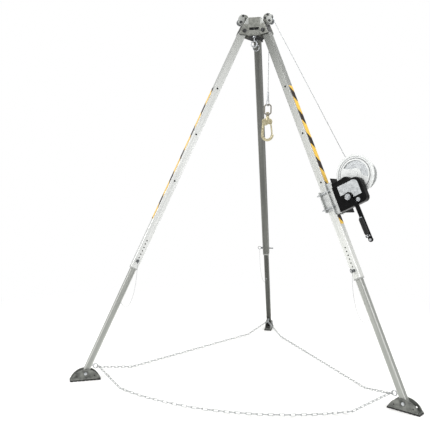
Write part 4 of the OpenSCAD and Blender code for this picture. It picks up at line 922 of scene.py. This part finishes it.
paper, tree, shader, place = start("matte_paper_floor", metallic=0.0, roughness=0.9)
shader.inputs["Base Color"].default_value = linear("#f6f6f4")
far = put(tree, "ShaderNodeVectorMath", {0: place}, operation="LENGTH").outputs["Value"]
fade = put(tree, "ShaderNodeMapRange", {"Value": far, "From Min": FADE_FROM, "From Max": FADE_TO},
           interpolation_type="SMOOTHSTEP").outputs["Result"]
shown = put(tree, "ShaderNodeMath", {0: fade, 1: seen_directly(tree)}, operation="MULTIPLY").outputs[0]
white = put(tree, "ShaderNodeEmission", {"Color": (1, 1, 1, 1), "Strength": 1.0}).outputs[0]
mixed = put(tree, "ShaderNodeMixShader", {0: shown, 1: shader.outputs[0], 2: white}).outputs[0]
tree.links.new(mixed, tree.nodes["Material Output"].inputs["Surface"])
sheet.materials.append(paper)
print("floor", 2 * FLOOR_HALF, "m wide")

# %% World
scene = bpy.context.scene
scene.view_settings.view_transform = "Standard"
world = bpy.data.worlds.new("soft_studio")
scene.world = world
world.use_nodes = True
tree = world.node_tree
tree.nodes.clear()
ray = put(tree, "ShaderNodeTexCoord").outputs["Generated"]
height = put(tree, "ShaderNodeSeparateXYZ", {0: ray}).outputs["Z"]
ramp = put(tree, "ShaderNodeMapRange", {"Value": height, "From Min": -0.2, "From Max": 0.9,
                                        "To Min": 0.35, "To Max": 0.85})
dim = put(tree, "ShaderNodeBackground",
          {"Color": (1, 1, 1, 1), "Strength": ramp.outputs["Result"]}).outputs[0]
bright = put(tree, "ShaderNodeBackground", {"Color": (1, 1, 1, 1), "Strength": 1.0}).outputs[0]
eye_ray = put(tree, "ShaderNodeLightPath").outputs["Is Camera Ray"]
sky = put(tree, "ShaderNodeMixShader", {0: eye_ray, 1: dim, 2: bright}).outputs[0]
put(tree, "ShaderNodeOutputWorld", {"Surface": sky})
print("world", world.name)

# %% Lamps
# each lamp has a place and a width in metres, and its watts
AIM = Vector((0, AXIS_Y, 1.1))
LAMPS = {"key_softbox": ((-3.2, -3.6, 3.6), 2.6, 130), "fill_softbox": ((4.0, -2.2, 2.4), 2.2, 60),
         "top_softbox": ((0.4, 0.6, 4.6), 3.0, 110)}
for name, (where, size, watts) in LAMPS.items():
    lamp = bpy.data.lights.new(name, "AREA")
    lamp.energy, lamp.size = watts, size
    stand = bpy.data.objects.new(name, lamp)
    scene.collection.objects.link(stand)
    stand.location = where
    stand.rotation_mode = "QUATERNION"
    stand.rotation_quaternion = (AIM - Vector(where)).to_track_quat("-Z", "Y")
print("lamps", list(LAMPS))
